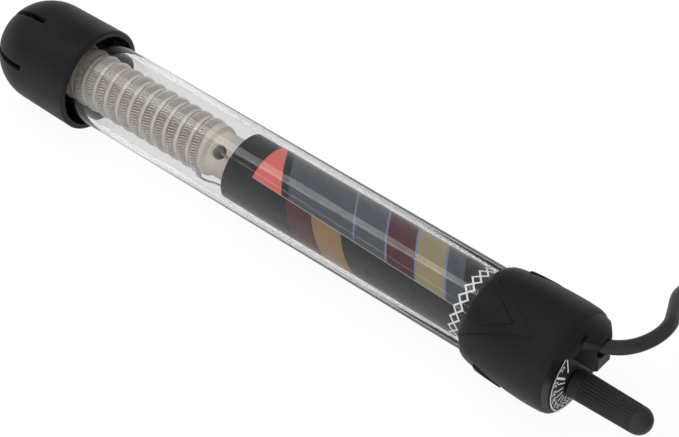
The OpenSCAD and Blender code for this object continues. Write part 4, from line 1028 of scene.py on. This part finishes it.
def dialEdge(angle, look):
    # distance from the knob's axis to the scale's outline
    a = math.radians(angle)
    distance, furthest, step = 5.0, 30, 0.05
    while distance < furthest:
        y = look["knob"][0] + distance * math.cos(a)
        z = look["knob"][1] + distance * math.sin(a)
        past = math.hypot(y - look["middle"][0], z - look["middle"][1]) > look["reach"]
        if past or math.hypot(y, z) > look["edge"]:
            break
        distance += step
    return distance


def onDial(angle, distance, look):
    a = math.radians(angle)
    return (look["knob"][0] + distance * math.cos(a), look["knob"][1] + distance * math.sin(a))


def ribbon(points, widths, look):
    # a flat line of print through (across, up) points
    verts, faces = [], []
    count = len(points)
    for i, point in enumerate(points):
        before = points[max(i - 1, 0)]
        after = points[min(i + 1, count - 1)]
        along = Vector((after[0] - before[0], after[1] - before[1])).normalized()
        side = Vector((-along.y, along.x)) * widths[i] / 2
        for way in (1, -1):
            for lift in (0, look["print"]):
                verts.append(place(look["face"] + lift, point[0] + way * side.x, point[1] + way * side.y))
    for i in range(count - 1):
        a, b = 4 * i, 4 * (i + 1)
        faces += [(a + 1, b + 1, b + 3, a + 3), (a, a + 2, b + 2, b)]
        faces += [(a, b, b + 1, a + 1), (a + 2, a + 3, b + 3, b + 2)]
    end = 4 * (count - 1)
    faces += [(0, 1, 3, 2), (end, end + 2, end + 3, end + 1)]
    return verts, faces


def joined(parts):
    verts, faces = [], []
    for moreVerts, moreFaces in parts:
        start = len(verts)
        verts += moreVerts
        faces += [[v + start for v in face] for face in moreFaces]
    return verts, faces


def addNumber(value, angle, look):
    y, z = onDial(angle, dialEdge(angle, look) - look["inset"], look)
    text = bpy.data.curves.new("dialNumber" + value, "FONT")
    text.body = value
    text.size = look["digit"] / 1000
    text.align_x, text.align_y = "CENTER", "CENTER"
    text.extrude = text.offset = look["digitThick"] / 1000
    text.materials.append(paints["whitePrint"])
    piece = bpy.data.objects.new("dialNumber" + value, text)
    a = math.radians(angle - 90)
    turn = Matrix(((0, 0, 1), (math.cos(a), -math.sin(a), 0), (math.sin(a), math.cos(a), 0))).to_4x4()
    piece.matrix_world = Matrix.Translation(place(look["face"] + look["digitLift"], y, z)) @ turn
    scene.collection.objects.link(piece)
    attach(piece, "heater")


def addDial(look):
    line = look["line"]
    outline = [look["apex"]]
    outline += [onDial(a, dialEdge(a, look), look) for a in range(look["from"], look["to"], look["step"])]
    parts = [ribbon(outline, [line] * len(outline), look), ribbon(look["blade"], [line, line], look),
             ribbon(look["pointer"], look["pointerWidths"], look)]
    angles = [look["first"]] + [look["second"] + look["apart"] * i for i in range(len(look["values"]) - 1)]
    for value, angle in zip(look["values"], angles):
        addNumber(value, angle, look)
        end = dialEdge(angle, look) - look["tickShort"]
        if angle > look["first"] and end > look["tickFrom"] + look["tickLeast"]:
            ends = [onDial(angle, look["tickFrom"], look), onDial(angle, end, look)]
            parts.append(ribbon(ends, [look["tick"]] * 2, look))
    verts, faces = joined(parts)
    mesh = bpy.data.meshes.new("dialMarks")
    mesh.from_pydata([tuple(v) for v in verts], [], faces)
    mesh.validate()
    mesh.materials.append(paints["whitePrint"])
    piece = bpy.data.objects.new("dialMarks", mesh)
    scene.collection.objects.link(piece)
    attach(piece, "heater")


addDial(dial)
